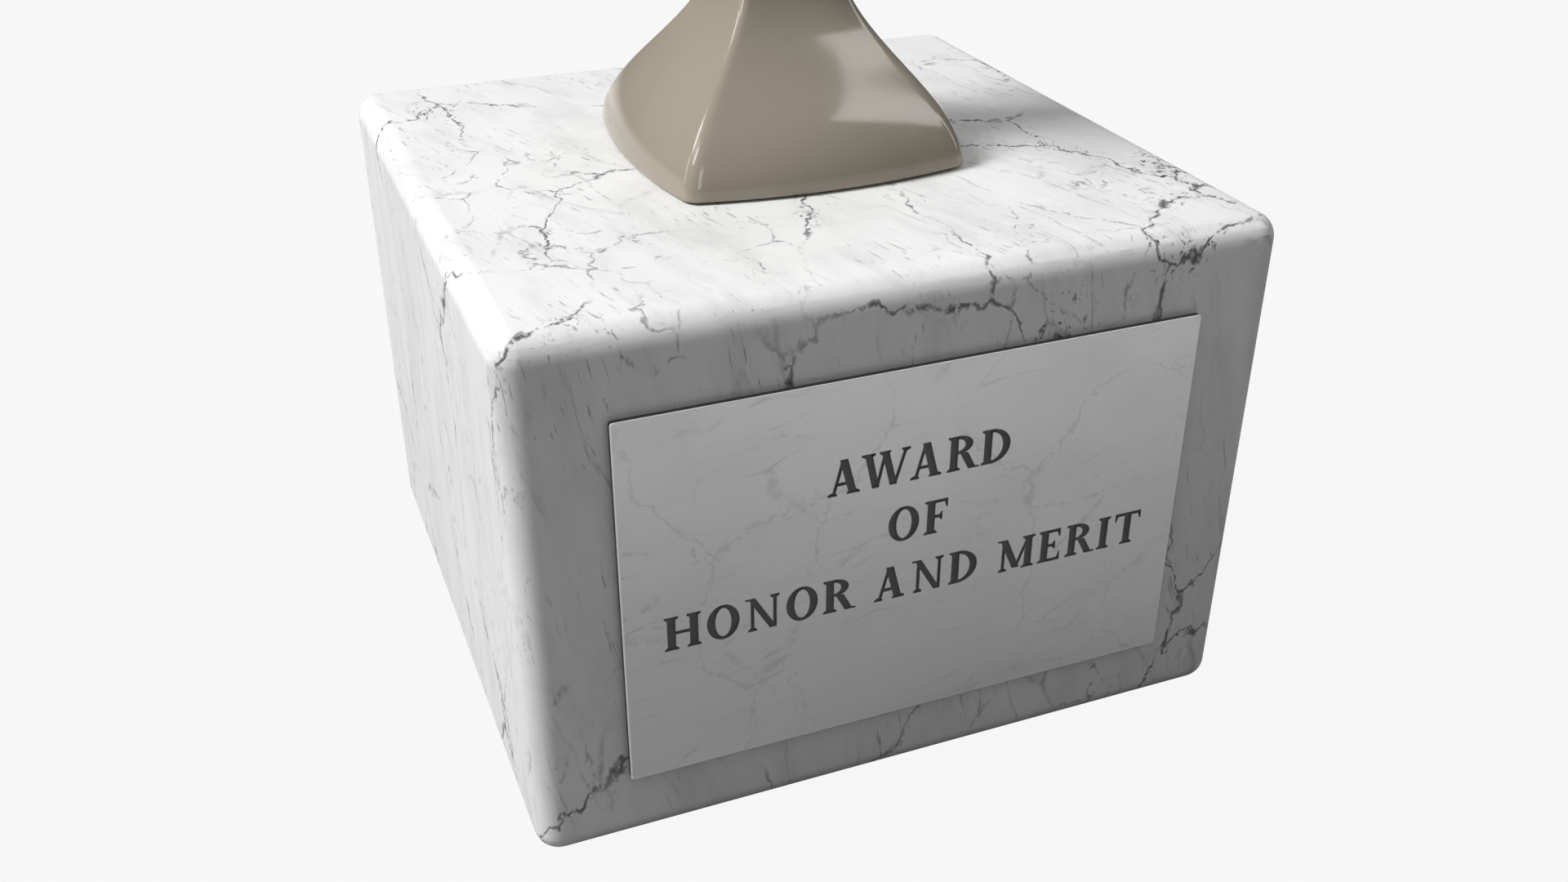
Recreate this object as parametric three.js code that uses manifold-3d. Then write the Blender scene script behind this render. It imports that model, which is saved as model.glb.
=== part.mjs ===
// Cup trophy: a lacquered two-handled cup, held by one tie rod to a marble block with a nameplate.
// Millimetres, +Z up. The origin is the middle of the felt's underside; the nameplate faces -Y.
import * as THREE from 'three';
import { RoundedBoxGeometry } from 'three/addons/geometries/RoundedBoxGeometry.js';
import { mergeVertices } from 'three/addons/utils/BufferGeometryUtils.js';
import Module from 'manifold-3d';

// ---------------------------------------------------------------- driving dimensions

const GAP = 0.3;                    // left between faces that touch on the real object

// marble block
const BLOCK_WIDTH = 100;
const BLOCK_DEPTH = 96.4;
const BLOCK_HEIGHT = 72.2;
const BLOCK_EDGE_RADIUS = 3.3;

// felt under the block, let into a shallow recess
const FELT_INSET = 8;               // from the side of the block to the felt
const FELT_THICKNESS = 1.5;
const FELT_PROUD = 0.5;             // how far the felt stands below the marble
const FELT_CORNER_RADIUS = 4;

// nameplate and the foam tape behind it
const PLATE_WIDTH = 76.2;
const PLATE_HEIGHT = 50.6;
const PLATE_THICKNESS = 0.92;
const PLATE_BEVEL = 0.15;
const PLATE_CORNER_RADIUS = 0.4;
const TAPE_MARGIN = 4;              // from the plate's edge to the tape's edge
const TAPE_THICKNESS = 0.8;

// engraving: three centred lines of bold serif capitals
const ENGRAVED_LINES = ['AWARD', 'OF', 'HONOR AND MERIT'];
const LETTERING_MARGIN = 5;         // from the plate's edge to the longest line
const LINE_PITCH = 1.73;            // share of the letter height
const LETTER_SPACING = 0.1;         // share of the letter height between two letters
const WORD_SPACE = 0.3;             // share of the letter height
const ENGRAVING_RAISE = 0.08;       // the lettering's middle above the plate's, share of its height
const ENGRAVING_DEPTH = 0.3;

// foot of the cup: a bowed square that flares down from a slim neck
const CUP_OFFSET_X = 1.4;           // the cup stands this far off the middle of the block
const CUP_OFFSET_Y = 1.8;
const FOOT_HALF_WIDTH = 19.5;       // from the axis to a corner, along X and along Y
const FOOT_HEIGHT = 32;
const FOOT_BULGE = 0.12;            // how far a side bows out, as a share of the half width
const NECK_HALF_WIDTH = 6.4;
const NECK_BULGE = 0.03;
const FLARE_SHARE = 0.88;           // share of the foot's height that the flare takes
const FLARE_FULLNESS = 1.22;        // above 1 draws the flare in sooner
const CORNER_SOFTNESS = 1.5;        // rounding of the foot's and stem's ridges

// gasket between foot and marble
const GASKET_INSET = 4;
const GASKET_THICKNESS = 1;

// stem: a square baluster with the same ridges
const STEM_HEIGHT = 30;
const STEM_HALF_WIDTH = 6.2;
const STEM_SWELL = 3.6;             // added to the half width at the middle of the stem
const STEM_BULGE = 0.06;

// collars above and below the stem
const COLLAR_HEIGHT = 3.2;
const COLLAR_LEDGE = 1.3;           // how far a collar stands out past the ridges it carries

// bowl
const BOWL_HEIGHT = 104;
const BELLY_SHARE = 0.577;          // share of the bowl's height over which it widens
const BELLY_RADIUS = 39;
const BELLY_FULLNESS = 0.62;        // lower is rounder at the bottom
const BOWL_START = 0.06;            // share of the belly curve cut off by the bowl's flat seat
const LIP_FLARE = 4.6;              // how far the lip opens past the belly
const BOWL_WALL = 2.2;
const BOWL_FLOOR = 4.5;
const BOWL_BULGE = 0.2;             // at the seat; higher up the bowl turns round
const BOWL_RIDGE_SOFTNESS = 0.1;
const BOWL_ROUND_SHARE = 0.635;     // share of the bowl's height above which it is round

// handles, and the screws that hold them from inside the bowl
const HANDLE_TOP_SHARE = 0.808;     // height of the upper joint, as a share of the bowl's height
const HANDLE_BOTTOM_SHARE = 0.279;  // the same for the lower joint
const HANDLE_WIDEST_SHARE = 0.663;  // the same for the grip's widest point
const HANDLE_STAND_OFF = 24;        // from the belly to the middle of the grip
const HANDLE_TOP_PULL = 0.92;       // how far it is drawn straight out at the top, in stand-offs
const HANDLE_BOTTOM_PULL = 0.62;    // the same at the bottom joint
const HANDLE_SHOULDER_PULL = 0.125; // how far it is drawn upright above its widest point, in bowl heights
const HANDLE_GRIP_PULL = 0.27;      // the same below its widest point
const HANDLE_THICKNESS = 7.6;       // of the grip, seen from the side
const HANDLE_BREADTH = 6.4;         // of the grip, seen from the front
const HANDLE_END_SWELL = 0.4;       // extra thickness at the joints, as a share
const SCREW_RADIUS = 1.5;
const SCREW_BITE = 7.8;             // length of thread past the bowl's outer face
const SCREW_HEAD_RADIUS = 2.8;
const SCREW_HEAD_HEIGHT = 1.8;
const SCREW_DOME_SHARE = 0.7;       // radius of the flat on the head, as a share of the head's
const SCREW_DOME_DROP = 0.3;        // where the dome turns down, as a share of the head's height
const SCREW_SOCKET_RADIUS = 1.4;
const SCREW_SOCKET_DEPTH = 1;
const SCREW_WASHER_RADIUS = 3.6;
const SCREW_WASHER_THICKNESS = 0.6;

// tie rod, nuts and washers
const ROD_RADIUS = 3;               // the nuts and washers take their sizes from it
const ROD_END_CHAMFER = 0.7;
const ROD_SPARE = 2.5;              // thread that shows below the lower nut
const ROD_CLEARANCE = 0.9;          // round the rod in the marble, foot, stem and bowl
const NUT_WALL = 2;                 // from the thread to a flat
const NUT_HEIGHT = 5;
const BASE_WASHER_RIM = 6;          // from the thread to the washer's edge
const BASE_WASHER_THICKNESS = 1.6;
const SPRING_WASHER_RIM = 2.4;      // from the thread to the spring washer's edge
const SPRING_WASHER_THICKNESS = 1.6;
const SPRING_WASHER_SLIT = 1;
const SPRING_WASHER_SLANT = 0.45;   // radians
const COUNTERBORE_CLEARANCE = 3;    // round the base washer, for a socket wrench
const COUNTERBORE_DEPTH = 15;
const CUP_WASHER_RIM = 5;
const CUP_WASHER_THICKNESS = 1.2;
const CUP_SEAL_RIM = 5.6;
const CUP_SEAL_THICKNESS = 1;
const DOME_NUT_GRIP = 4.6;          // height of the dome nut's hexagon
const DOME_SHARE = 0.94;            // the dome's radius, as a share of half the nut's width

// dowels that stop the foot from turning
const DOWEL_RADIUS = 2;
const DOWEL_LENGTH = 13;
const DOWEL_WALL = 4.6;             // between the rod's hole and each dowel
const DOWEL_CHAMFER = 0.5;

// mesh fineness
const ROUND_SEGMENTS = 24;
const SQUARE_SEGMENTS = 32;
const CORNER_CROWDING = 0.65;       // draws the foot's and stem's segments towards their corners
const BOWL_SEGMENTS = 36;
const FLARE_STEPS = 12;
const STEM_STEPS = 8;
const BOWL_STEPS = 16;
const LIP_STEPS = 5;
const HANDLE_STEPS = 24;
const HANDLE_SIDES = 12;
const OVERCUT = 2;                  // how far a cutter reaches past the face that it opens

// ---------------------------------------------------------------- finishes

const FINISHES = {
  marble: { color: 0xe9e8e6, roughness: 0.32, metalness: 0 },
  lacquer: { color: 0xa39b8b, roughness: 0.2, metalness: 0 },
  plateSteel: { color: 0x9b9b9b, roughness: 0.45, metalness: 0.9 },
  polishedSteel: { color: 0xc9c9c7, roughness: 0.12, metalness: 1 },
  zincSteel: { color: 0xa9abad, roughness: 0.4, metalness: 0.9 },
  felt: { color: 0x2c2c2b, roughness: 1, metalness: 0 },
  rubber: { color: 0x242322, roughness: 0.8, metalness: 0 },
  foamTape: { color: 0xd8d6cf, roughness: 0.9, metalness: 0 },
  nylon: { color: 0xdcd8cc, roughness: 0.6, metalness: 0 },
};

// ---------------------------------------------------------------- solids

const wasm = await Module();
wasm.setup();

// Turns a closed geometry into a solid, dropping the slivers that a revolve leaves on its axis.
function toSolid(geometry) {
  const bare = geometry.clone();
  bare.deleteAttribute('normal');
  bare.deleteAttribute('uv');
  const merged = mergeVertices(bare);
  const corners = [];
  const index = merged.index.array;
  for (let i = 0; i < index.length; i += 3) {
    const [a, b, c] = [index[i], index[i + 1], index[i + 2]];
    if (a !== b && b !== c && c !== a) {
      corners.push(a, b, c);
    }
  }
  return new wasm.Manifold(new wasm.Mesh({
    numProp: 3,
    vertProperties: Float32Array.from(merged.attributes.position.array),
    triVerts: Uint32Array.from(corners),
  }));
}

function toGeometry(solid) {
  const mesh = solid.getMesh();
  const geometry = new THREE.BufferGeometry();
  geometry.setAttribute('position', new THREE.BufferAttribute(mesh.vertProperties, 3));
  geometry.setIndex(new THREE.BufferAttribute(mesh.triVerts, 1));
  geometry.computeVertexNormals();
  return geometry;
}

// Revolves [radius, height] points, given up the outside, round the Z axis.
function revolve(profile, segments = ROUND_SEGMENTS) {
  const points = profile.map(([radius, height]) => new THREE.Vector2(radius, height));
  return new THREE.LatheGeometry(points, segments).rotateX(Math.PI / 2);
}

// An upright cylinder from one height to another.
function cylinder(radius, bottom, top, segments = ROUND_SEGMENTS) {
  const geometry = new THREE.CylinderGeometry(radius, radius, top - bottom, segments);
  return geometry.rotateX(Math.PI / 2).translate(0, 0, (top + bottom) / 2);
}

// A flat ring lying on `bottom`, with its centre on the Z axis.
function washer(outerRadius, innerRadius, bottom, thickness) {
  const body = toSolid(cylinder(outerRadius, bottom, bottom + thickness));
  return body.subtract(toSolid(cylinder(innerRadius, bottom - OVERCUT, bottom + thickness + OVERCUT)));
}

// A round pin with both ends chamfered.
function pin(radius, bottom, top, chamfer) {
  return toSolid(revolve([
    [0, bottom],
    [radius - chamfer, bottom],
    [radius, bottom + chamfer],
    [radius, top - chamfer],
    [radius - chamfer, top],
    [0, top],
  ], ROUND_SEGMENTS / 2));
}

function roundedRectangle(width, height, radius) {
  const [x, y] = [width / 2, height / 2];
  const shape = new THREE.Shape();
  shape.absarc(x - radius, y - radius, radius, 0, Math.PI / 2);
  shape.absarc(radius - x, y - radius, radius, Math.PI / 2, Math.PI);
  shape.absarc(radius - x, radius - y, radius, Math.PI, Math.PI * 1.5);
  shape.absarc(x - radius, radius - y, radius, Math.PI * 1.5, Math.PI * 2);
  return shape;
}

// A flat slab of a shape, standing on `bottom`.
function slab(shape, bottom, thickness) {
  const options = { depth: thickness, bevelEnabled: false, curveSegments: 5 };
  return new THREE.ExtrudeGeometry(shape, options).translate(0, 0, bottom);
}

// ---------------------------------------------------------------- bowed squares

const ROUND_BULGE = Math.SQRT2 - 1; // the bulge at which a bowed square is a circle

// The reach of a bowed square in the direction `angle`, for a reach of 1 at the middle of its sides.
// Each side is an arc that stands `bulge` proud of its chord, and the corners are rounded by `softness`.
function bowedReach(angle, bulge, softness) {
  const corner = 1 / (1 + bulge);
  const rise = bulge * corner;
  const arcRadius = (corner * corner + rise * rise) / (2 * rise);
  const arcCentre = arcRadius - 1;
  const sideReach = (fromNormal) => {
    const along = arcCentre * Math.cos(fromNormal);
    return Math.sqrt(along * along - arcCentre * arcCentre + arcRadius * arcRadius) - along;
  };
  const quarter = Math.PI / 2;
  const turned = angle + quarter / 2;
  const fromNormal = Math.abs(turned - Math.floor(turned / quarter) * quarter - quarter / 2);
  const near = sideReach(fromNormal);
  const far = sideReach(quarter - fromNormal);
  const blend = Math.max(0, softness - Math.abs(far - near));
  return Math.min(near, far) - (softness > 0 ? (blend * blend) / (4 * softness) : 0);
}

// Presses a revolved geometry to bowed-square sections. sectionAt(z) gives { bulge, softness }, and
// `crowding` draws the segments towards the corners.
function pressSquare(geometry, sectionAt, crowding = 0) {
  const position = geometry.attributes.position;
  for (let i = 0; i < position.count; i += 1) {
    const [x, y, z] = [position.getX(i), position.getY(i), position.getZ(i)];
    const evenAngle = Math.atan2(y, x);
    const angle = evenAngle + (crowding * Math.sin(4 * evenAngle)) / 4;
    const { bulge, softness } = sectionAt(z);
    const radius = Math.hypot(x, y) * bowedReach(angle, bulge, softness);
    position.setXY(i, radius * Math.cos(angle), radius * Math.sin(angle));
  }
  return geometry;
}

const stepsTo = (count) => Array.from({ length: count + 1 }, (_, i) => i / count);

// ---------------------------------------------------------------- heights

const blockBottom = FELT_PROUD;
const blockTop = blockBottom + BLOCK_HEIGHT;
const blockFront = -BLOCK_DEPTH / 2;
const blockMiddle = blockBottom + BLOCK_HEIGHT / 2;

// These heights are above the block's top, because the cup's pieces hang in a group that stands there.
const footBottom = GAP;
const footTop = footBottom + FOOT_HEIGHT;
const lowerCollarBottom = footTop + GAP;
const stemBottom = lowerCollarBottom + COLLAR_HEIGHT + GAP;
const stemTop = stemBottom + STEM_HEIGHT;
const upperCollarBottom = stemTop + GAP;
const bowlBottom = upperCollarBottom + COLLAR_HEIGHT + GAP;
const bowlFloor = bowlBottom + BOWL_FLOOR;
const cupSealBottom = bowlFloor + GAP;
const cupWasherBottom = cupSealBottom + CUP_SEAL_THICKNESS + GAP;
const domeNutBottom = cupWasherBottom + CUP_WASHER_THICKNESS + GAP;

const feltRecessTop = FELT_THICKNESS + GAP;
const counterboreTop = feltRecessTop + COUNTERBORE_DEPTH;
const baseWasherBottom = counterboreTop - GAP - BASE_WASHER_THICKNESS - blockTop;
const springWasherBottom = baseWasherBottom - GAP - SPRING_WASHER_THICKNESS;
const baseNutBottom = springWasherBottom - GAP - NUT_HEIGHT;
const rodBottom = baseNutBottom - ROD_SPARE;
const rodTop = domeNutBottom + DOME_NUT_GRIP;

const rodHoleRadius = ROD_RADIUS + ROD_CLEARANCE;
const nutHoleRadius = ROD_RADIUS + GAP;
const dowelHoleRadius = DOWEL_RADIUS + GAP;
const dowelSpread = rodHoleRadius + DOWEL_WALL + DOWEL_RADIUS;
const dowelBottom = -DOWEL_LENGTH / 2;

const nutAcrossFlats = 2 * (ROD_RADIUS + NUT_WALL);
const baseWasherRadius = ROD_RADIUS + BASE_WASHER_RIM;
const springWasherRadius = ROD_RADIUS + SPRING_WASHER_RIM;
const cupWasherRadius = ROD_RADIUS + CUP_WASHER_RIM;
const cupSealRadius = ROD_RADIUS + CUP_SEAL_RIM;

// ---------------------------------------------------------------- base pieces

const feltWidth = BLOCK_WIDTH - 2 * FELT_INSET;
const feltDepth = BLOCK_DEPTH - 2 * FELT_INSET;
const tapeWidth = PLATE_WIDTH - 2 * TAPE_MARGIN;
const tapeHeight = PLATE_HEIGHT - 2 * TAPE_MARGIN;
const plateBack = blockFront - GAP;
const plateFront = plateBack - PLATE_THICKNESS;

// Stands a slab up against the block's front, with its first face at `y` and the rest further forward.
function faceForward(geometry, y, z = blockMiddle) {
  return geometry.rotateX(Math.PI / 2).translate(0, y, z);
}

function makeFelt() {
  return toSolid(slab(roundedRectangle(feltWidth, feltDepth, FELT_CORNER_RADIUS), 0, FELT_THICKNESS));
}

function makeMarbleBlock() {
  const box = new RoundedBoxGeometry(BLOCK_WIDTH, BLOCK_DEPTH, BLOCK_HEIGHT, 3, BLOCK_EDGE_RADIUS);
  let block = toSolid(box.translate(0, 0, blockMiddle));

  const recess = roundedRectangle(feltWidth + 2 * GAP, feltDepth + 2 * GAP, FELT_CORNER_RADIUS + GAP);
  block = block.subtract(toSolid(slab(recess, -OVERCUT, feltRecessTop + OVERCUT)));

  const pocketDepth = TAPE_THICKNESS + GAP;
  const pocket = roundedRectangle(tapeWidth + 2 * GAP, tapeHeight + 2 * GAP, PLATE_CORNER_RADIUS + GAP);
  const pocketCutter = slab(pocket, 0, pocketDepth + OVERCUT);
  block = block.subtract(toSolid(faceForward(pocketCutter, blockFront + pocketDepth)));

  const underCup = (geometry, alongX = 0) => {
    return toSolid(geometry.translate(CUP_OFFSET_X + alongX, CUP_OFFSET_Y, 0));
  };
  const counterboreRadius = baseWasherRadius + COUNTERBORE_CLEARANCE;
  block = block.subtract(underCup(cylinder(counterboreRadius, 0, counterboreTop)));
  block = block.subtract(underCup(cylinder(rodHoleRadius, 0, blockTop + OVERCUT)));
  for (const side of [-1, 1]) {
    const hole = cylinder(dowelHoleRadius, blockTop + dowelBottom - GAP, blockTop + OVERCUT);
    block = block.subtract(underCup(hole, side * dowelSpread));
  }
  return block;
}

function makeFoamTape() {
  const sheet = slab(roundedRectangle(tapeWidth, tapeHeight, PLATE_CORNER_RADIUS), 0, TAPE_THICKNESS);
  return toSolid(faceForward(sheet, blockFront + TAPE_THICKNESS));
}

// ---------------------------------------------------------------- lettering

// Sizes of the letters' strokes, as shares of the letter height.
const STEM = 0.22;
const HAIRLINE = 0.095;
const SERIF_REACH = 0.075;
const SERIF_HEIGHT = 0.055;
const SERIF_BRACKET = 0.05;

const polygon = (...points) => new THREE.Shape(points.map(([x, y]) => new THREE.Vector2(x, y)));
const box = (left, bottom, right, top) => polygon([left, bottom], [right, bottom], [right, top], [left, top]);

// A stroke with level ends, from (x0, y0) to (x1, y1), `width` wide along X.
const stroke = (x0, y0, x1, y1, width) => polygon([x0, y0], [x0 + width, y0], [x1 + width, y1], [x1, y1]);

// A serif under (direction 1) or over (direction -1) the end of a stroke that spans left to right.
function serif(left, right, level, direction) {
  const edge = level + direction * SERIF_HEIGHT;
  const top = edge + direction * SERIF_BRACKET;
  const points = [
    [left - SERIF_REACH, level],
    [right + SERIF_REACH, level],
    [right + SERIF_REACH, edge],
    [right, top],
    [left, top],
    [left - SERIF_REACH, edge],
  ];
  return polygon(...(direction > 0 ? points : points.reverse()));
}

const feet = (x, width = STEM) => serif(x, x + width, 0, 1);
const head = (x, width = STEM) => serif(x, x + width, 1, -1);
const post = (x, width = STEM) => [box(x, 0, x + width, 1), feet(x, width), head(x, width)];

// The tick at the free end of an arm: a wedge that tapers away from the arm.
function tick(x, armEdge, reach) {
  const tip = armEdge + reach;
  const points = [[x, armEdge], [x - HAIRLINE, armEdge], [x - HAIRLINE / 3, tip], [x, tip]];
  return polygon(...(reach > 0 ? [...points].reverse() : points));
}

// A ring, or the right half of one, heavier at its sides than at its top and bottom.
function ring(x, y, outerX, outerY, sideWeight, half) {
  const [from, to] = half ? [-Math.PI / 2, Math.PI / 2] : [0, Math.PI * 2];
  const shape = new THREE.Shape();
  shape.absellipse(x, y, outerX, outerY, from, to, false, 0);
  const innerX = outerX - sideWeight;
  const innerY = outerY - HAIRLINE;
  if (half) {
    shape.absellipse(x, y, innerX, innerY, to, from, true, 0);
  } else {
    const hole = new THREE.Path();
    hole.absellipse(x, y, innerX, innerY, 0, Math.PI * 2, true, 0);
    shape.holes.push(hole);
  }
  return shape;
}

const LETTERS = {
  A: {
    width: 0.98,
    strokes: [
      stroke(0.15, 0, 0.41, 1, HAIRLINE),
      stroke(0.62, 0, 0.36, 1, STEM),
      box(0.24, 0.27, 0.7, 0.27 + HAIRLINE),
      feet(0.13, HAIRLINE),
      feet(0.64, STEM - 0.02),
    ],
  },
  D: {
    width: 0.9,
    strokes: [
      ...post(0.09),
      ring(0.29, 0.5, 0.55, 0.5, STEM, true),
      box(0.2, 0, 0.31, HAIRLINE),
      box(0.2, 1 - HAIRLINE, 0.31, 1),
    ],
  },
  E: {
    width: 0.74,
    strokes: [
      ...post(0.09),
      box(0.2, 0, 0.68, HAIRLINE),
      box(0.2, 0.46, 0.52, 0.46 + HAIRLINE),
      box(0.2, 1 - HAIRLINE, 0.66, 1),
      tick(0.68, HAIRLINE, 0.17),
      tick(0.66, 1 - HAIRLINE, -0.16),
      tick(0.52, 0.46 + HAIRLINE, 0.08),
      tick(0.52, 0.46, -0.08),
    ],
  },
  F: {
    width: 0.7,
    strokes: [
      ...post(0.09),
      box(0.2, 0.46, 0.52, 0.46 + HAIRLINE),
      box(0.2, 1 - HAIRLINE, 0.66, 1),
      tick(0.66, 1 - HAIRLINE, -0.17),
      tick(0.52, 0.46 + HAIRLINE, 0.08),
      tick(0.52, 0.46, -0.08),
    ],
  },
  H: { width: 0.98, strokes: [...post(0.09), ...post(0.67), box(0.2, 0.46, 0.75, 0.46 + HAIRLINE)] },
  I: { width: 0.4, strokes: post(0.09) },
  M: {
    width: 1.16,
    strokes: [
      box(0.17, 0, 0.17 + HAIRLINE, 1),
      feet(0.17, HAIRLINE),
      ...post(0.85),
      stroke(0.5, 0.06, 0.1, 1, STEM),
      stroke(0.56, 0.06, 0.9, 1, HAIRLINE),
      box(0.03, 1 - SERIF_HEIGHT, 0.2, 1),
    ],
  },
  N: {
    width: 0.98,
    strokes: [
      box(0.16, 0, 0.16 + HAIRLINE, 1),
      feet(0.16, HAIRLINE),
      box(0.76, 0, 0.76 + HAIRLINE, 1),
      head(0.76, HAIRLINE),
      stroke(0.67, 0, 0.09, 1, STEM - 0.03),
      box(0.02, 1 - SERIF_HEIGHT, 0.2, 1),
    ],
  },
  O: { width: 0.92, strokes: [ring(0.46, 0.5, 0.43, 0.52, STEM, false)] },
  R: {
    width: 0.88,
    strokes: [
      ...post(0.09),
      ring(0.3, 0.735, 0.42, 0.265, STEM, true),
      box(0.2, 0.47, 0.32, 0.47 + HAIRLINE),
      box(0.2, 1 - HAIRLINE, 0.32, 1),
      stroke(0.62, 0, 0.36, 0.5, STEM),
      box(0.64, 0, 0.92, SERIF_HEIGHT),
    ],
  },
  T: {
    width: 0.86,
    strokes: [
      box(0.32, 0, 0.32 + STEM, 1),
      feet(0.32),
      box(0.03, 1 - HAIRLINE, 0.83, 1),
      tick(0.83, 1 - HAIRLINE, -0.17),
      polygon([0.03, 0.735], [0.06, 0.735], [0.03 + HAIRLINE, 1 - HAIRLINE], [0.03, 1 - HAIRLINE]),
    ],
  },
  W: {
    width: 1.36,
    strokes: [
      stroke(0.32, 0, 0.1, 1, STEM - 0.02),
      stroke(0.4, 0, 0.62, 1, HAIRLINE),
      stroke(0.8, 0, 0.55, 1, STEM - 0.02),
      stroke(0.88, 0, 1.17, 1, HAIRLINE),
      head(0.1),
      head(0.57, STEM - 0.06),
      head(1.17, HAIRLINE),
    ],
  },
};

// How much closer these pairs of letters stand, in letter heights.
const KERNING = { AW: 0.16, WA: 0.16, AR: 0.03, RD: 0.03 };

// How far the letter at `place` moves the next one along, in letter heights.
function advance(line, place) {
  const letter = line[place];
  const width = letter === ' ' ? WORD_SPACE : LETTERS[letter].width;
  return width + LETTER_SPACING - (KERNING[line.slice(place, place + 2)] ?? 0);
}

// The width of a line of lettering, in letter heights.
function lineWidth(line) {
  return [...line].reduce((sum, _, place) => sum + advance(line, place), -LETTER_SPACING);
}

const longestLine = Math.max(...ENGRAVED_LINES.map(lineWidth));
const letterHeight = (PLATE_WIDTH - 2 * LETTERING_MARGIN) / longestLine;
const linePitch = LINE_PITCH * letterHeight;

// One solid of every engraved letter, standing in front of the plate's engraved floor.
function makeLettering() {
  const lettersMiddle = blockMiddle + ENGRAVING_RAISE * PLATE_HEIGHT;
  const blockOfLines = letterHeight + (ENGRAVED_LINES.length - 1) * linePitch;
  let lettering = null;
  ENGRAVED_LINES.forEach((line, row) => {
    const baseline = lettersMiddle + blockOfLines / 2 - letterHeight - row * linePitch;
    let left = (-lineWidth(line) * letterHeight) / 2;
    for (let place = 0; place < line.length; place += 1) {
      for (const shape of LETTERS[line[place]]?.strokes ?? []) {
        const options = { depth: 1, bevelEnabled: false, curveSegments: shape.holes.length ? 12 : 7 };
        const geometry = new THREE.ExtrudeGeometry(shape, options);
        geometry.scale(letterHeight, letterHeight, ENGRAVING_DEPTH + OVERCUT).translate(left, 0, 0);
        const solid = toSolid(faceForward(geometry, plateFront + ENGRAVING_DEPTH, baseline));
        lettering = lettering ? lettering.add(solid) : solid;
      }
      left += advance(line, place) * letterHeight;
    }
  });
  return lettering;
}

function makeNameplate() {
  const face = roundedRectangle(
    PLATE_WIDTH - 2 * PLATE_BEVEL,
    PLATE_HEIGHT - 2 * PLATE_BEVEL,
    PLATE_CORNER_RADIUS - PLATE_BEVEL,
  );
  const sheet = new THREE.ExtrudeGeometry(face, {
    depth: PLATE_THICKNESS - 2 * PLATE_BEVEL,
    bevelThickness: PLATE_BEVEL,
    bevelSize: PLATE_BEVEL,
    bevelSegments: 2,
    curveSegments: 3,
  });
  const plate = toSolid(faceForward(sheet, plateBack - PLATE_BEVEL));
  return plate.subtract(makeLettering());
}

// ---------------------------------------------------------------- foot, gasket, stem and collars

// Half width from the axis to a corner of the foot, at a share of its height.
function footHalfWidth(share) {
  const drop = (1 + Math.cos(Math.PI * Math.min(share / FLARE_SHARE, 1))) / 2;
  return NECK_HALF_WIDTH + (FOOT_HALF_WIDTH - NECK_HALF_WIDTH) * drop ** FLARE_FULLNESS;
}

const footBulge = (share) => {
  return THREE.MathUtils.lerp(FOOT_BULGE, NECK_BULGE, THREE.MathUtils.smoothstep(share, 0.2, 0.6));
};

const stemHalfWidth = (share) => STEM_HALF_WIDTH + STEM_SWELL * Math.sin(Math.PI * share) ** 2;

// A solid of revolution pressed to bowed squares whose corners follow halfWidthAt(share of height).
function squareTurned(bottom, height, steps, halfWidthAt, bulgeAt, lowerCut = 0) {
  const sideRadius = (share) => halfWidthAt(share) * (1 + bulgeAt(share));
  const profile = stepsTo(steps).map((share) => [sideRadius(share) - lowerCut, bottom + share * height]);
  const outline = [[0, bottom], ...profile, [0, bottom + height]];
  return toSolid(pressSquare(revolve(outline, SQUARE_SEGMENTS), (z) => {
    const share = THREE.MathUtils.clamp((z - bottom) / height, 0, 1);
    return { bulge: bulgeAt(share), softness: CORNER_SOFTNESS / sideRadius(share) };
  }, CORNER_CROWDING));
}

const rodHole = (bottom, top) => toSolid(cylinder(rodHoleRadius, bottom - OVERCUT, top + OVERCUT));

// A flat sheet with the outline of the foot's base, drawn in by `inset`.
function footSheet(inset, bottom, thickness) {
  return squareTurned(bottom, thickness, 1, () => FOOT_HALF_WIDTH, () => FOOT_BULGE, inset);
}

function makeGasket() {
  let gasket = footSheet(GASKET_INSET, footBottom, GASKET_THICKNESS);
  gasket = gasket.subtract(rodHole(footBottom, footBottom + GASKET_THICKNESS));
  for (const side of [-1, 1]) {
    const hole = cylinder(dowelHoleRadius, -OVERCUT, OVERCUT + GASKET_THICKNESS);
    gasket = gasket.subtract(toSolid(hole.translate(side * dowelSpread, 0, 0)));
  }
  return gasket;
}

function makeFoot() {
  let foot = squareTurned(footBottom, FOOT_HEIGHT, FLARE_STEPS, footHalfWidth, footBulge);
  foot = foot.subtract(rodHole(footBottom, footTop));
  const pocketHeight = GASKET_THICKNESS + GAP + OVERCUT;
  foot = foot.subtract(footSheet(GASKET_INSET - GAP, footBottom - OVERCUT, pocketHeight));
  for (const side of [-1, 1]) {
    const hole = cylinder(dowelHoleRadius, -OVERCUT, dowelBottom + DOWEL_LENGTH + GAP);
    foot = foot.subtract(toSolid(hole.translate(side * dowelSpread, 0, 0)));
  }
  return foot;
}

function makeStem() {
  const stem = squareTurned(stemBottom, STEM_HEIGHT, STEM_STEPS, stemHalfWidth, () => STEM_BULGE);
  return stem.subtract(rodHole(stemBottom, stemTop));
}

const collarRadius = Math.SQRT2 * Math.max(NECK_HALF_WIDTH, STEM_HALF_WIDTH) + COLLAR_LEDGE;

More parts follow.
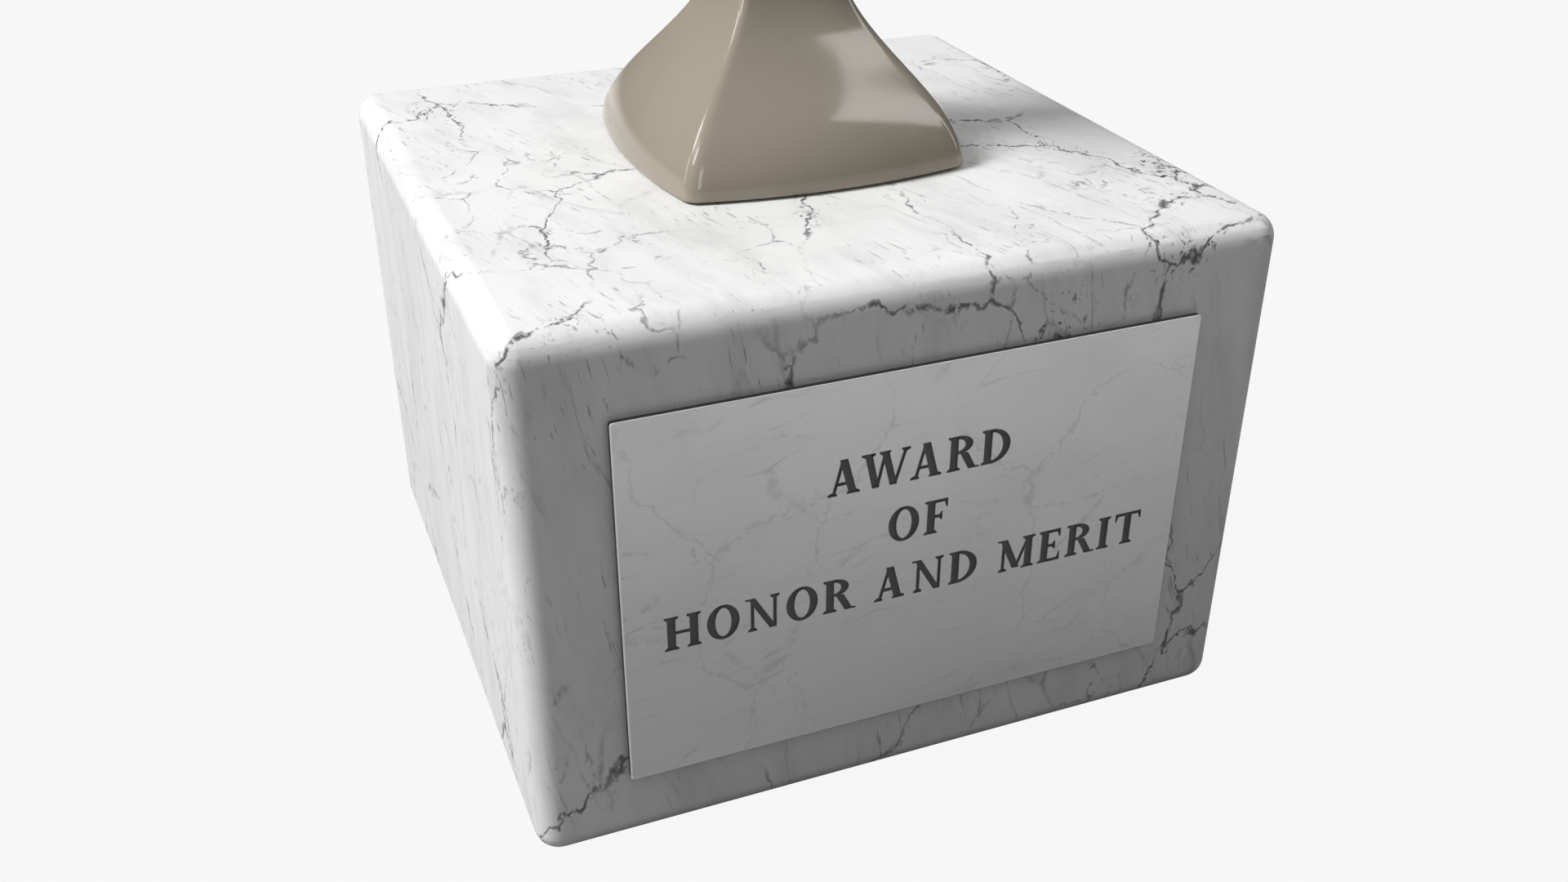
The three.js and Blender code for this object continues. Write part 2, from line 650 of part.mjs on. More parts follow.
// A polished ring with a half-round edge.
function makeCollar(bottom) {
  const bead = COLLAR_HEIGHT / 2;
  const edge = stepsTo(8).map((share) => {
    const angle = (share - 0.5) * Math.PI;
    return [collarRadius - bead + bead * Math.cos(angle), bottom + bead + bead * Math.sin(angle)];
  });
  const ringBody = toSolid(revolve([[0, bottom], ...edge, [0, bottom + COLLAR_HEIGHT]]));
  return ringBody.subtract(rodHole(bottom, bottom + COLLAR_HEIGHT));
}

// ---------------------------------------------------------------- bowl

const bellyHeight = BELLY_SHARE * BOWL_HEIGHT;

// Outer radius of the bowl, across its sides, at a height above its seat.
function bowlRadius(height) {
  const belly = Math.min(BOWL_START + ((1 - BOWL_START) * height) / bellyHeight, 1);
  const rise = Math.max(0, (height - bellyHeight) / (BOWL_HEIGHT - bellyHeight));
  return BELLY_RADIUS * (1 - (1 - belly) ** 2) ** BELLY_FULLNESS + LIP_FLARE * rise ** 2.2;
}

// The wall at a height above the seat: its radius and its outward normal in the radius-height plane.
function bowlWall(height) {
  const delta = 0.01;               // over which the slope is measured
  const slope = (bowlRadius(height + delta) - bowlRadius(height)) / delta;
  const length = Math.hypot(1, slope);
  return { radius: bowlRadius(height), outward: [1 / length, -slope / length] };
}

// The wall's profile moved outwards by `offset`, up to `top` above the seat.
function bowlProfile(offset, top = BOWL_HEIGHT) {
  return stepsTo(BOWL_STEPS).map((share) => {
    const height = top * share ** 1.4;
    const { radius, outward } = bowlWall(height);
    return [radius + offset * outward[0], bowlBottom + height + offset * outward[1]];
  });
}

function bowlSection(z) {
  const roundness = THREE.MathUtils.smoothstep(z - bowlBottom, 0, BOWL_ROUND_SHARE * BOWL_HEIGHT);
  return {
    bulge: THREE.MathUtils.lerp(BOWL_BULGE, ROUND_BULGE, roundness),
    softness: BOWL_RIDGE_SOFTNESS * (1 - roundness),
  };
}

const pressedBowl = (outline) => toSolid(pressSquare(revolve(outline, BOWL_SEGMENTS), bowlSection));

// The bowl's outside as a solid block, grown by `offset`, for cutting the handles' ends.
function bowlEnvelope(offset) {
  const outline = bowlProfile(offset);
  const top = outline[outline.length - 1][1];
  return pressedBowl([[0, outline[0][1]], ...outline, [0, top]]);
}

// Places a geometry made along +Z so that it points out of the wall at `height` on one side of the cup.
function onWall(geometry, height, side) {
  const { radius, outward } = bowlWall(height);
  const turn = Math.atan2(outward[0], outward[1]);
  geometry.rotateY(turn).translate(radius, 0, bowlBottom + height);
  return side > 0 ? geometry : geometry.rotateZ(Math.PI);
}

const screwHoleRadius = SCREW_RADIUS + GAP;
const handleTop = HANDLE_TOP_SHARE * BOWL_HEIGHT;
const handleBottom = HANDLE_BOTTOM_SHARE * BOWL_HEIGHT;
const handleJoints = [['upper', handleTop], ['lower', handleBottom]];
const handleSides = [['right', 1], ['left', -1]];

function makeBowl() {
  const outside = bowlProfile(0);
  const inside = bowlProfile(-BOWL_WALL).filter(([, z]) => z > bowlFloor + BOWL_WALL / 2).reverse();
  const [lipRadius, lipHeight] = outside[outside.length - 1];
  const [innerRadius, innerHeight] = inside[0];
  const lip = stepsTo(LIP_STEPS + 1).slice(1, -1).map((share) => {
    const angle = Math.PI * share;
    const radius = (lipRadius + innerRadius + (lipRadius - innerRadius) * Math.cos(angle)) / 2;
    const slant = (lipHeight + innerHeight + (lipHeight - innerHeight) * Math.cos(angle)) / 2;
    return [radius, slant + (BOWL_WALL / 2) * Math.sin(angle)];
  });
  const floorRadius = inside[inside.length - 1][0] - BOWL_WALL;
  const seatAndWall = [[0, bowlBottom], ...outside, ...lip, ...inside];
  let bowl = pressedBowl([...seatAndWall, [floorRadius, bowlFloor], [0, bowlFloor]]);
  bowl = bowl.subtract(rodHole(bowlBottom, bowlFloor));
  for (const [, side] of handleSides) {
    for (const [, height] of handleJoints) {
      const hole = cylinder(screwHoleRadius, -BOWL_WALL - OVERCUT, OVERCUT, ROUND_SEGMENTS / 2);
      bowl = bowl.subtract(toSolid(onWall(hole, height, side)));
    }
  }
  return bowl;
}

// ---------------------------------------------------------------- handles and their screws

// The middle line of a handle on the +X side, from its upper joint round to its lower one.
function handlePath() {
  const outOfWall = (height, distance) => {
    const { radius, outward } = bowlWall(height);
    return new THREE.Vector3(radius + distance * outward[0], 0, bowlBottom + height + distance * outward[1]);
  };
  const reach = BELLY_RADIUS + HANDLE_STAND_OFF;
  const upright = (share) => new THREE.Vector3(reach, 0, bowlBottom + share * BOWL_HEIGHT);
  const path = new THREE.CurvePath();
  path.add(new THREE.CubicBezierCurve3(
    outOfWall(handleTop, -BOWL_WALL / 2),
    outOfWall(handleTop, HANDLE_TOP_PULL * HANDLE_STAND_OFF),
    upright(HANDLE_WIDEST_SHARE + HANDLE_SHOULDER_PULL),
    upright(HANDLE_WIDEST_SHARE),
  ));
  path.add(new THREE.CubicBezierCurve3(
    upright(HANDLE_WIDEST_SHARE),
    upright(HANDLE_WIDEST_SHARE - HANDLE_GRIP_PULL),
    outOfWall(handleBottom, HANDLE_BOTTOM_PULL * HANDLE_STAND_OFF),
    outOfWall(handleBottom, -BOWL_WALL / 2),
  ));
  return path;
}

// Swells a swept tube towards both ends of its middle line.
function swellEnds(geometry, path) {
  const middles = path.getSpacedPoints(HANDLE_STEPS);
  const position = geometry.attributes.position;
  const point = new THREE.Vector3();
  for (let i = 0; i < position.count; i += 1) {
    point.fromBufferAttribute(position, i);
    const distances = middles.map((middle) => middle.distanceToSquared(point));
    const nearest = distances.indexOf(Math.min(...distances));
    const fromMiddle = Math.abs((2 * nearest) / HANDLE_STEPS - 1);
    const scale = 1 + HANDLE_END_SWELL * fromMiddle ** 5;
    point.sub(middles[nearest]).multiplyScalar(scale).add(middles[nearest]);
    position.setXYZ(i, point.x, point.y, point.z);
  }
  return geometry;
}

function makeHandle(side) {
  const section = new THREE.Shape();
  section.absellipse(0, 0, HANDLE_BREADTH / 2, HANDLE_THICKNESS / 2, 0, Math.PI * 2, false, 0);
  const path = handlePath();
  const tube = new THREE.ExtrudeGeometry(section, {
    steps: HANDLE_STEPS,
    curveSegments: HANDLE_SIDES / 2,
    extrudePath: path,
  });
  swellEnds(tube, path);
  let handle = toSolid(side > 0 ? tube : tube.rotateZ(Math.PI));
  handle = handle.subtract(bowlEnvelope(GAP));
  for (const [, height] of handleJoints) {
    const hole = cylinder(screwHoleRadius, -OVERCUT, SCREW_BITE + GAP, ROUND_SEGMENTS / 2);
    handle = handle.subtract(toSolid(onWall(hole, height, side)));
  }
  return handle;
}

// How far the flat washer stands off the curved, faceted wall inside the bowl.
function washerStandOff(height) {
  const insideRadius = bowlWall(height).radius - BOWL_WALL;
  const facetSag = insideRadius * (1 - Math.cos(Math.PI / BOWL_SEGMENTS));
  return GAP + SCREW_WASHER_RADIUS ** 2 / (2 * insideRadius) + facetSag;
}

function makeScrewWasher(height, side) {
  const top = -BOWL_WALL - washerStandOff(height);
  const bottom = top - SCREW_WASHER_THICKNESS;
  const body = cylinder(SCREW_WASHER_RADIUS, bottom, top);
  const hole = cylinder(screwHoleRadius, bottom - OVERCUT, top + OVERCUT, ROUND_SEGMENTS / 2);
  return toSolid(onWall(body, height, side)).subtract(toSolid(onWall(hole, height, side)));
}

function makeScrew(height, side) {
  const headFace = -BOWL_WALL - washerStandOff(height) - SCREW_WASHER_THICKNESS - GAP;
  const headTop = headFace - SCREW_HEAD_HEIGHT;
  const shoulder = (SCREW_HEAD_RADIUS * (1 + SCREW_DOME_SHARE)) / 2;
  const body = revolve([
    [0, headTop],
    [SCREW_HEAD_RADIUS * SCREW_DOME_SHARE, headTop],
    [shoulder, headTop + SCREW_HEAD_HEIGHT * SCREW_DOME_DROP],
    [SCREW_HEAD_RADIUS, headFace],
    [SCREW_RADIUS, headFace],
    [SCREW_RADIUS, SCREW_BITE - SCREW_RADIUS / 2],
    [SCREW_RADIUS / 2, SCREW_BITE],
    [0, SCREW_BITE],
  ], ROUND_SEGMENTS / 2);
  const socket = cylinder(SCREW_SOCKET_RADIUS, headTop - OVERCUT, headTop + SCREW_SOCKET_DEPTH, 6);
  return toSolid(onWall(body, height, side)).subtract(toSolid(onWall(socket, height, side)));
}

// ---------------------------------------------------------------- tie rod, nuts, washers, dowels

const nutCornerRadius = nutAcrossFlats / Math.sqrt(3);

// A hexagon nut blank with its corners turned down on both faces.
function hexBlank(bottom, height) {
  const hexagon = toSolid(cylinder(nutCornerRadius, bottom, bottom + height, 6));
  const turned = nutAcrossFlats / 2;
  const ease = (nutCornerRadius - turned) / 2;
  return hexagon.intersect(toSolid(revolve([
    [0, bottom],
    [turned, bottom],
    [nutCornerRadius, bottom + ease],
    [nutCornerRadius, bottom + height - ease],
    [turned, bottom + height],
    [0, bottom + height],
  ])));
}

function makeBaseNut() {
  const bore = cylinder(nutHoleRadius, baseNutBottom - OVERCUT, baseNutBottom + NUT_HEIGHT + OVERCUT);
  return hexBlank(baseNutBottom, NUT_HEIGHT).subtract(toSolid(bore));
}

function makeDomeNut() {
  const domeBase = domeNutBottom + DOME_NUT_GRIP - GAP;
  const radius = (DOME_SHARE * nutAcrossFlats) / 2;
  const height = nutAcrossFlats / 2;
  const dome = stepsTo(8).slice(0, -1).map((share) => {
    const angle = (share * Math.PI) / 2;
    return [radius * Math.cos(angle), domeBase + height * Math.sin(angle)];
  });
  const under = domeBase - GAP;
  const cap = toSolid(revolve([[0, under], [radius, under], ...dome, [0, domeBase + height]]));
  const bore = cylinder(nutHoleRadius, domeNutBottom - OVERCUT, rodTop + GAP);
  return hexBlank(domeNutBottom, DOME_NUT_GRIP).add(cap).subtract(toSolid(bore));
}

function makeSpringWasher() {
  const body = washer(springWasherRadius, nutHoleRadius, springWasherBottom, SPRING_WASHER_THICKNESS);
  const reach = springWasherRadius + OVERCUT;
  const slit = new THREE.BoxGeometry(reach, SPRING_WASHER_SLIT, SPRING_WASHER_THICKNESS + 2 * OVERCUT);
  slit.rotateX(SPRING_WASHER_SLANT).translate(reach / 2, 0, springWasherBottom + SPRING_WASHER_THICKNESS / 2);
  return body.subtract(toSolid(slit));
}

// ---------------------------------------------------------------- assembly

const trophy = new THREE.Group();

function addPiece(parent, name, solid, finish) {
  const mesh = new THREE.Mesh(toGeometry(solid), new THREE.MeshStandardMaterial(finish));
  mesh.name = name;
  parent.add(mesh);
}

addPiece(trophy, 'felt_pad', makeFelt(), FINISHES.felt);
addPiece(trophy, 'marble_block', makeMarbleBlock(), FINISHES.marble);
addPiece(trophy, 'plate_tape', makeFoamTape(), FINISHES.foamTape);
addPiece(trophy, 'nameplate', makeNameplate(), FINISHES.plateSteel);

const cup = new THREE.Group();
cup.position.set(CUP_OFFSET_X, CUP_OFFSET_Y, blockTop);
trophy.add(cup);

addPiece(cup, 'foot_gasket', makeGasket(), FINISHES.rubber);
addPiece(cup, 'foot', makeFoot(), FINISHES.lacquer);
addPiece(cup, 'lower_collar', makeCollar(lowerCollarBottom), FINISHES.polishedSteel);
addPiece(cup, 'stem', makeStem(), FINISHES.lacquer);
addPiece(cup, 'upper_collar', makeCollar(upperCollarBottom), FINISHES.polishedSteel);
addPiece(cup, 'bowl', makeBowl(), FINISHES.lacquer);

for (const [sideName, side] of handleSides) {
  addPiece(cup, `handle_${sideName}`, makeHandle(side), FINISHES.lacquer);
  for (const [jointName, height] of handleJoints) {
    const joint = `${sideName}_${jointName}`;
    addPiece(cup, `handle_washer_${joint}`, makeScrewWasher(height, side), FINISHES.nylon);
    addPiece(cup, `handle_screw_${joint}`, makeScrew(height, side), FINISHES.polishedSteel);
  }
}

addPiece(cup, 'tie_rod', pin(ROD_RADIUS, rodBottom, rodTop, ROD_END_CHAMFER), FINISHES.zincSteel);
addPiece(cup, 'base_nut', makeBaseNut(), FINISHES.zincSteel);
addPiece(cup, 'spring_washer', makeSpringWasher(), FINISHES.zincSteel);
const baseWasher = washer(baseWasherRadius, nutHoleRadius, baseWasherBottom, BASE_WASHER_THICKNESS);
addPiece(cup, 'base_washer', baseWasher, FINISHES.zincSteel);
const cupSeal = washer(cupSealRadius, nutHoleRadius, cupSealBottom, CUP_SEAL_THICKNESS);
addPiece(cup, 'cup_seal', cupSeal, FINISHES.rubber);
const cupWasher = washer(cupWasherRadius, nutHoleRadius, cupWasherBottom, CUP_WASHER_THICKNESS);
addPiece(cup, 'cup_washer', cupWasher, FINISHES.polishedSteel);
addPiece(cup, 'dome_nut', makeDomeNut(), FINISHES.polishedSteel);

for (const [sideName, side] of handleSides) {
  const dowel = pin(DOWEL_RADIUS, dowelBottom, dowelBottom + DOWEL_LENGTH, DOWEL_CHAMFER);
  addPiece(cup, `foot_dowel_${sideName}`, dowel.translate(side * dowelSpread, 0, 0), FINISHES.zincSteel);
}

export default trophy;
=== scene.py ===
"""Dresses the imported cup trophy: marble, lacquer and steel finishes, fine surfaces, floor, light and camera."""

import logging
import math
from dataclasses import dataclass, field
from enum import Enum
from typing import Callable, Sequence

import bpy
from mathutils import Matrix, Vector


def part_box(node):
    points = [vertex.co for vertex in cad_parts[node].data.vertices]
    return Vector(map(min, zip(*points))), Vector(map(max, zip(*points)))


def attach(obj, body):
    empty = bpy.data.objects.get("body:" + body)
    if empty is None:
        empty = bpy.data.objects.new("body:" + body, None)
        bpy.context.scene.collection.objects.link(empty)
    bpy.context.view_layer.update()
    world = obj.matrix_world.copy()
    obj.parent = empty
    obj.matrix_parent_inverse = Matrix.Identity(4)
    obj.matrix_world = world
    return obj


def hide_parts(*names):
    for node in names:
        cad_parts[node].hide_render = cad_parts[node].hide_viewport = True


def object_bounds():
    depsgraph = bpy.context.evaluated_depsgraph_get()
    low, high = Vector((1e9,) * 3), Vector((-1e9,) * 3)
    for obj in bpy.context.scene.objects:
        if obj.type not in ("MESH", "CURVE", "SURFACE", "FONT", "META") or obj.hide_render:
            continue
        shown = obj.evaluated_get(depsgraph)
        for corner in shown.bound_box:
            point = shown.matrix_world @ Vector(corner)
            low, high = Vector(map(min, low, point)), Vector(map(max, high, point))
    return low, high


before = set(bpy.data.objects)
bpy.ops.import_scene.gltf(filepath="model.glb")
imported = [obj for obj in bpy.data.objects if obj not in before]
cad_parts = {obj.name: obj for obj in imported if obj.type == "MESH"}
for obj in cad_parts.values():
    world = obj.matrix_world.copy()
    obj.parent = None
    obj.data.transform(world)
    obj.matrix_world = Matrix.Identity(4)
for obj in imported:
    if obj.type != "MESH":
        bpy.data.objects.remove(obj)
CAD_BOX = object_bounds()

LOG = logging.getLogger("cup_trophy")
MM = 0.001
QUARTER = math.pi / 2
ROOT = "root"

Point = tuple[float, float, float]
Colour = tuple[float, float, float]
Profile = Sequence[tuple[float, float]]
Socket = bpy.types.NodeSocket
Material = bpy.types.Material
Piece = bpy.types.Object


def grey(value: float) -> Colour:
    """Returns a neutral colour of this linear value."""
    return (value, value, value)


# ---------------------------------------------------------------- node trees


class Tree:
    """Adds and links nodes in one node tree, with the fewest words."""

    def __init__(self, tree: bpy.types.NodeTree) -> None:
        """Keeps the shader tree or group to build in."""
        self.tree = tree

    def put(self, value: object, target: Socket) -> None:
        """Feeds a socket from another socket, or sets it to a plain value.

        Args:
            value: an output socket, a number, a colour or a vector.
            target: the input socket.
        """
        if isinstance(value, Socket):
            self.tree.links.new(value, target)
        elif isinstance(value, tuple) and target.type == "RGBA":
            target.default_value = (*value, 1.0)
        else:
            target.default_value = value

    def add(self, kind: str, feeds: dict[str | int, object] | None = None, **settings: object) -> bpy.types.Node:
        """Adds a node, sets its plain properties and feeds its sockets.

        Args:
            kind: the node's type name, without the leading ShaderNode.
            feeds: what each input gets, by its name or number.
            **settings: properties of the node.

        Returns:
            The new node.
        """
        node = self.tree.nodes.new("ShaderNode" + kind)
        for name, value in settings.items():
            setattr(node, name, value)
        for socket, value in (feeds or {}).items():
            self.put(value, node.inputs[socket])
        return node

    def math(self, operation: str, *values: object, clamp: bool = False) -> Socket:
        """Returns the result of a Math node, kept between 0 and 1 if clamped."""
        return self.add("Math", dict(enumerate(values)), operation=operation, use_clamp=clamp).outputs[0]

    def fold(self, operation: str, first: object, *others: object) -> Socket:
        """Joins values by an operation, from the first to the last.

        Args:
            operation: the Math node's operation.
            first: the first value.
            *others: the values joined to it, in order.

        Returns:
            The result's socket.
        """
        for other in others:
            first = self.math(operation, first, other)
        return first

    def times(self, *values: object) -> Socket:
        """Returns the product of values."""
        return self.fold("MULTIPLY", *values)

    def plus(self, *values: object) -> Socket:
        """Returns the sum of values."""
        return self.fold("ADD", *values)

    def minus(self, *values: object) -> Socket:
        """Returns the first value less the others."""
        return self.fold("SUBTRACT", *values)

    def most(self, *values: object) -> Socket:
        """Returns the largest of values."""
        return self.fold("MAXIMUM", *values)

    def fade(self, value: object, reach: object) -> Socket:
        """Returns 1 for a value of 0, falling to 0 at this reach."""
        return self.math("SUBTRACT", 1.0, self.math("DIVIDE", value, reach), clamp=True)

    def vector(self, operation: str, *values: object) -> Socket:
        """Returns the result of a Vector Math node: a number for a length, or else a vector."""
        node = self.add("VectorMath", dict(enumerate(values)), operation=operation)
        return node.outputs["Value" if operation == "LENGTH" else "Vector"]

    def scaled(self, vector: object, factor: object) -> Socket:
        """Returns a vector times a number."""
        return self.add("VectorMath", {0: vector, "Scale": factor}, operation="SCALE").outputs[0]

    def parts(self, vector: object) -> tuple[Socket, ...]:
        """Returns a vector's X, Y and Z."""
        return tuple(self.add("SeparateXYZ", {0: vector}).outputs)

    def mapped(self, vector: object, turn: Point = (0.0, 0.0, 0.0), scale: Point = (1.0, 1.0, 1.0),
               offset: Point = (0.0, 0.0, 0.0), kind: str = "POINT") -> Socket:
        """Turns, scales and shifts a vector.

        Args:
            vector: the vector.
            turn: the turn about each axis, in radians.
            scale: the scale along each axis.
            offset: the shift, in metres.
            kind: POINT, or TEXTURE to draw a pattern out along the turned axes.

        Returns:
            The new vector's socket.
        """
        feeds = {"Vector": vector, "Location": offset, "Rotation": turn, "Scale": scale}
        return self.add("Mapping", feeds, vector_type=kind).outputs[0]

    def ramp(self, value: object, low: float, high: float, start: float = 0.0, end: float = 1.0) -> Socket:
        """Maps a value smoothly from [low, high] to [start, end], held at both ends.

        Args:
            value: the value to map.
            low: the value that gives start.
            high: the value that gives end.
            start: the result at and before low.
            end: the result at and after high.

        Returns:
            The mapped value's socket.
        """
        feeds = {"Value": value, "From Min": low, "From Max": high, "To Min": start, "To Max": end}
        return self.add("MapRange", feeds, interpolation_type="SMOOTHSTEP").outputs["Result"]

    def noise(self, vector: object, scale: float, detail: float = 3.0, roughness: float = 0.5,
              colour: bool = False) -> Socket:
        """Adds a noise texture.

        Args:
            vector: where it is read, in metres.
            scale: features per metre.
            detail: octaves.
            roughness: how much each finer octave counts.
            colour: whether the three-channel output is wanted.

        Returns:
            The noise's socket.
        """
        feeds = {"Vector": vector, "Scale": scale, "Detail": detail, "Roughness": roughness}
        return self.add("TexNoise", feeds, noise_dimensions="3D").outputs["Color" if colour else "Fac"]

    def cell_edges(self, vector: object, scale: object) -> Socket:
        """Returns the distance to the nearest wall of a Voronoi pattern, in cells."""
        feeds = {"Vector": vector, "Scale": scale}
        return self.add("TexVoronoi", feeds, feature="DISTANCE_TO_EDGE").outputs["Distance"]

    def cells(self, vector: object, scale: object) -> tuple[Socket, Socket]:
        """Returns the distance to the nearest point of a Voronoi pattern, and that cell's random number."""
        outputs = self.add("TexVoronoi", {"Vector": vector, "Scale": scale}, feature="F1").outputs
        return outputs["Distance"], self.add("SeparateColor", {0: outputs["Color"]}).outputs[0]

    def mix(self, factor: object, first: object, second: object) -> Socket:
        """Returns a mix of two colours."""
        return self.add("Mix", {0: factor, 6: first, 7: second}, data_type="RGBA").outputs[2]

    def bump(self, height: object, depth: float) -> Socket:
        """Returns the normal of a surface on which a height of 1 stands for this depth, in metres."""
        return self.add("Bump", {"Height": height, "Distance": depth, "Strength": 1.0}).outputs["Normal"]

    def group(self, group: bpy.types.NodeTree, **values: object) -> bpy.types.bpy_prop_collection:
        """Places a node group, fed by name with _ for a space, and returns its outputs."""
        feeds = {name.replace("_", " "): value for name, value in values.items()}
        return self.add("Group", feeds, node_tree=group).outputs


def new_group(name: str, numbers: dict[str, float], results: Sequence[str]) -> tuple[
        Tree, bpy.types.bpy_prop_collection, bpy.types.bpy_prop_collection]:
    """Starts a shader node group that is given a place and some numbers.

    Args:
        name: the group's name.
        numbers: the default of each number that it is given.
        results: the name of each number that it returns.

    Returns:
        The tree, the sockets of what it is given and the sockets for its results.
    """
    group = bpy.data.node_groups.new(name, "ShaderNodeTree")
    group.interface.new_socket("Vector", in_out="INPUT", socket_type="NodeSocketVector")
    for label, default in numbers.items():
        group.interface.new_socket(label, in_out="INPUT", socket_type="NodeSocketFloat").default_value = default
    for label in results:
        group.interface.new_socket(label, in_out="OUTPUT", socket_type="NodeSocketFloat")
    given, result = group.nodes.new("NodeGroupInput"), group.nodes.new("NodeGroupOutput")
    return Tree(group), given.outputs, result.inputs


# ---------------------------------------------------------------- shared surface effects


def stone_figure() -> bpy.types.NodeTree:
    """Builds the group that draws the figure of white marble: broken veins, flecks, hairlines and clouds.

    Returns:
        The node group.
    """
    tree, given, result = new_group("stone figure", {"Level": 1.0}, ("Vein", "Fleck", "Hairline", "Cloud"))
    place = given["Vector"]

    def warped(vector: object, *waves: tuple[float, float]) -> Socket:
        """Shifts a vector by noise, once for each scale (per metre) and reach (metres)."""
        moved = vector
        for scale, reach in waves:
            drift = tree.vector("SUBTRACT", tree.noise(vector, scale, 2.0, 0.6, colour=True), grey(0.5))
            moved = tree.vector("ADD", moved, tree.scaled(drift, 2.0 * reach))
        return moved

    def laid(turn: float, stretch: float) -> Socket:
        """Returns where to read a pattern drawn out along a level turn, or steeply on an upright surface."""
        wavy = warped(place, (75.0, 0.0022))
        across = tree.mapped(wavy, (0.0, 0.0, turn), (1.0, stretch, 1.0), kind="TEXTURE")
        steep = tree.mapped(wavy, (0.07, -0.32, 0.0), (1.0, 1.0, stretch), kind="TEXTURE")
        level = tree.ramp(given["Level"], 0.35, 0.65)
        return tree.add("Mix", {0: level, 4: steep, 5: across}, data_type="VECTOR").outputs[1]

    drawn = warped(place, (22.0, 0.012), (150.0, 0.0021), (520.0, 0.0011))
    gate = tree.noise(place, 30.0, 3.0, 0.6)
    grit = tree.noise(place, 560.0, 3.0, 0.75)
    beads = tree.noise(tree.vector("ADD", place, (0.7, 0.2, 0.4)), 330.0, 3.0, 0.7)
    main_edge = tree.cell_edges(drawn, 31.0)
    main = tree.math("POWER", tree.fade(main_edge, tree.ramp(beads, 0.44, 0.66, 0.005, 0.0155)), 0.5)
    main = tree.times(main, tree.ramp(gate, 0.42, 0.54), tree.ramp(grit, 0.36, 0.52))
    branch = tree.fade(tree.cell_edges(tree.vector("ADD", drawn, (0.31, 0.17, 0.53)), 78.0), 0.022)
    branch = tree.times(branch, tree.ramp(tree.noise(place, 47.0, 3.0, 0.65), 0.5, 0.62),
                        tree.ramp(grit, 0.42, 0.6, 0.0, 0.8))
    tree.put(tree.most(main, branch), result["Vein"])

    near = tree.times(tree.ramp(main_edge, 0.01, 0.08, 1.0, 0.0), tree.ramp(gate, 0.53, 0.62))
    crumbs = tree.times(tree.ramp(tree.noise(drawn, 1350.0, 2.0, 0.55), 0.59, 0.67), near)
    strokes = tree.ramp(tree.noise(laid(0.3, 14.0), 2300.0, 2.0, 0.5), 0.62, 0.72)
    strokes = tree.times(strokes, tree.ramp(tree.noise(place, 75.0, 2.0), 0.46, 0.62, 0.0, 0.5))
    tree.put(tree.most(crumbs, strokes), result["Fleck"])

    hairline = tree.times(tree.fade(tree.cell_edges(laid(0.25, 5.0), 120.0), 0.024),
                          tree.ramp(tree.noise(place, 62.0, 3.0, 0.6), 0.47, 0.66), tree.ramp(grit, 0.36, 0.58))
    threads = tree.ramp(tree.noise(laid(0.3, 13.0), 800.0, 4.0, 0.7), 0.57, 0.74)
    threads = tree.times(threads, tree.ramp(tree.noise(place, 55.0, 3.0), 0.45, 0.63, 0.0, 0.62))
    tree.put(tree.most(hairline, threads), result["Hairline"])

    broad = tree.ramp(tree.noise(warped(place, (18.0, 0.02)), 20.0, 5.0, 0.62), 0.38, 0.7)
    streaks = tree.ramp(tree.noise(laid(0.3, 4.0), 190.0, 4.0, 0.62), 0.42, 0.72)
    tree.put(tree.plus(tree.times(broad, 0.55), tree.times(streaks, 0.45)), result["Cloud"])
    return tree.tree


def handling_marks() -> bpy.types.NodeTree:
    """Builds the group for the marks of use: smudges, fine scratches and dust specks.

    Returns:
        The node group.
    """
    tree, given, result = new_group(
        "handling marks", {"Scratch Scale": 120.0, "Speck Scale": 420.0}, ("Smudge", "Scratch", "Speck"))
    place = given["Vector"]
    tree.put(tree.ramp(tree.noise(place, 46.0, 4.0, 0.6), 0.42, 0.72), result["Smudge"])

    lines = []
    for turn, squeeze in (((0.2, 0.4, 0.7), (1.0, 0.05, 0.3)), ((0.9, 0.1, 2.1), (1.0, 0.08, 0.3))):
        edge = tree.cell_edges(tree.mapped(place, turn, squeeze), given["Scratch Scale"])
        lines.append(tree.fade(edge, 0.012))
    broken = tree.ramp(tree.noise(place, 90.0, 2.0), 0.52, 0.7)
    tree.put(tree.times(tree.most(*lines), broken), result["Scratch"])

    distance, chance = tree.cells(place, given["Speck Scale"])
    dot = tree.ramp(distance, 0.05, 0.14, 1.0, 0.0)
    tree.put(tree.times(dot, tree.ramp(chance, 0.86, 0.9)), result["Speck"])
    return tree.tree


class Effects:
    """The node groups that several finishes share, each made once."""

    def __init__(self) -> None:
        """Makes the groups."""
        self.stone = stone_figure()
        self.marks = handling_marks()


# ---------------------------------------------------------------- finishes


class Coating:
    """A material being written: its tree, its shader and where its patterns are read."""

    def __init__(self, name: str) -> None:
        """Makes an empty material with one Principled shader.

        Args:
            name: the material's name.
        """
        self.material = bpy.data.materials.new(name)
        self.material.use_nodes = True
        self.tree = Tree(self.material.node_tree)
        self.shader = self.material.node_tree.nodes["Principled BSDF"]
        self.place = self.tree.add("TexCoord").outputs["Object"]

    def set(self, **values: object) -> None:
        """Feeds or sets the shader's sockets, by name with _ for a space."""
        for name, value in values.items():
            self.tree.put(value, self.shader.inputs[name.replace("_", " ")])

    def level(self) -> Socket:
        """Returns 1 where the surface faces straight up or down and 0 where it is upright."""
        normal = self.tree.add("TexCoord").outputs["Normal"]
        return self.tree.math("ABSOLUTE", self.tree.parts(normal)[2])


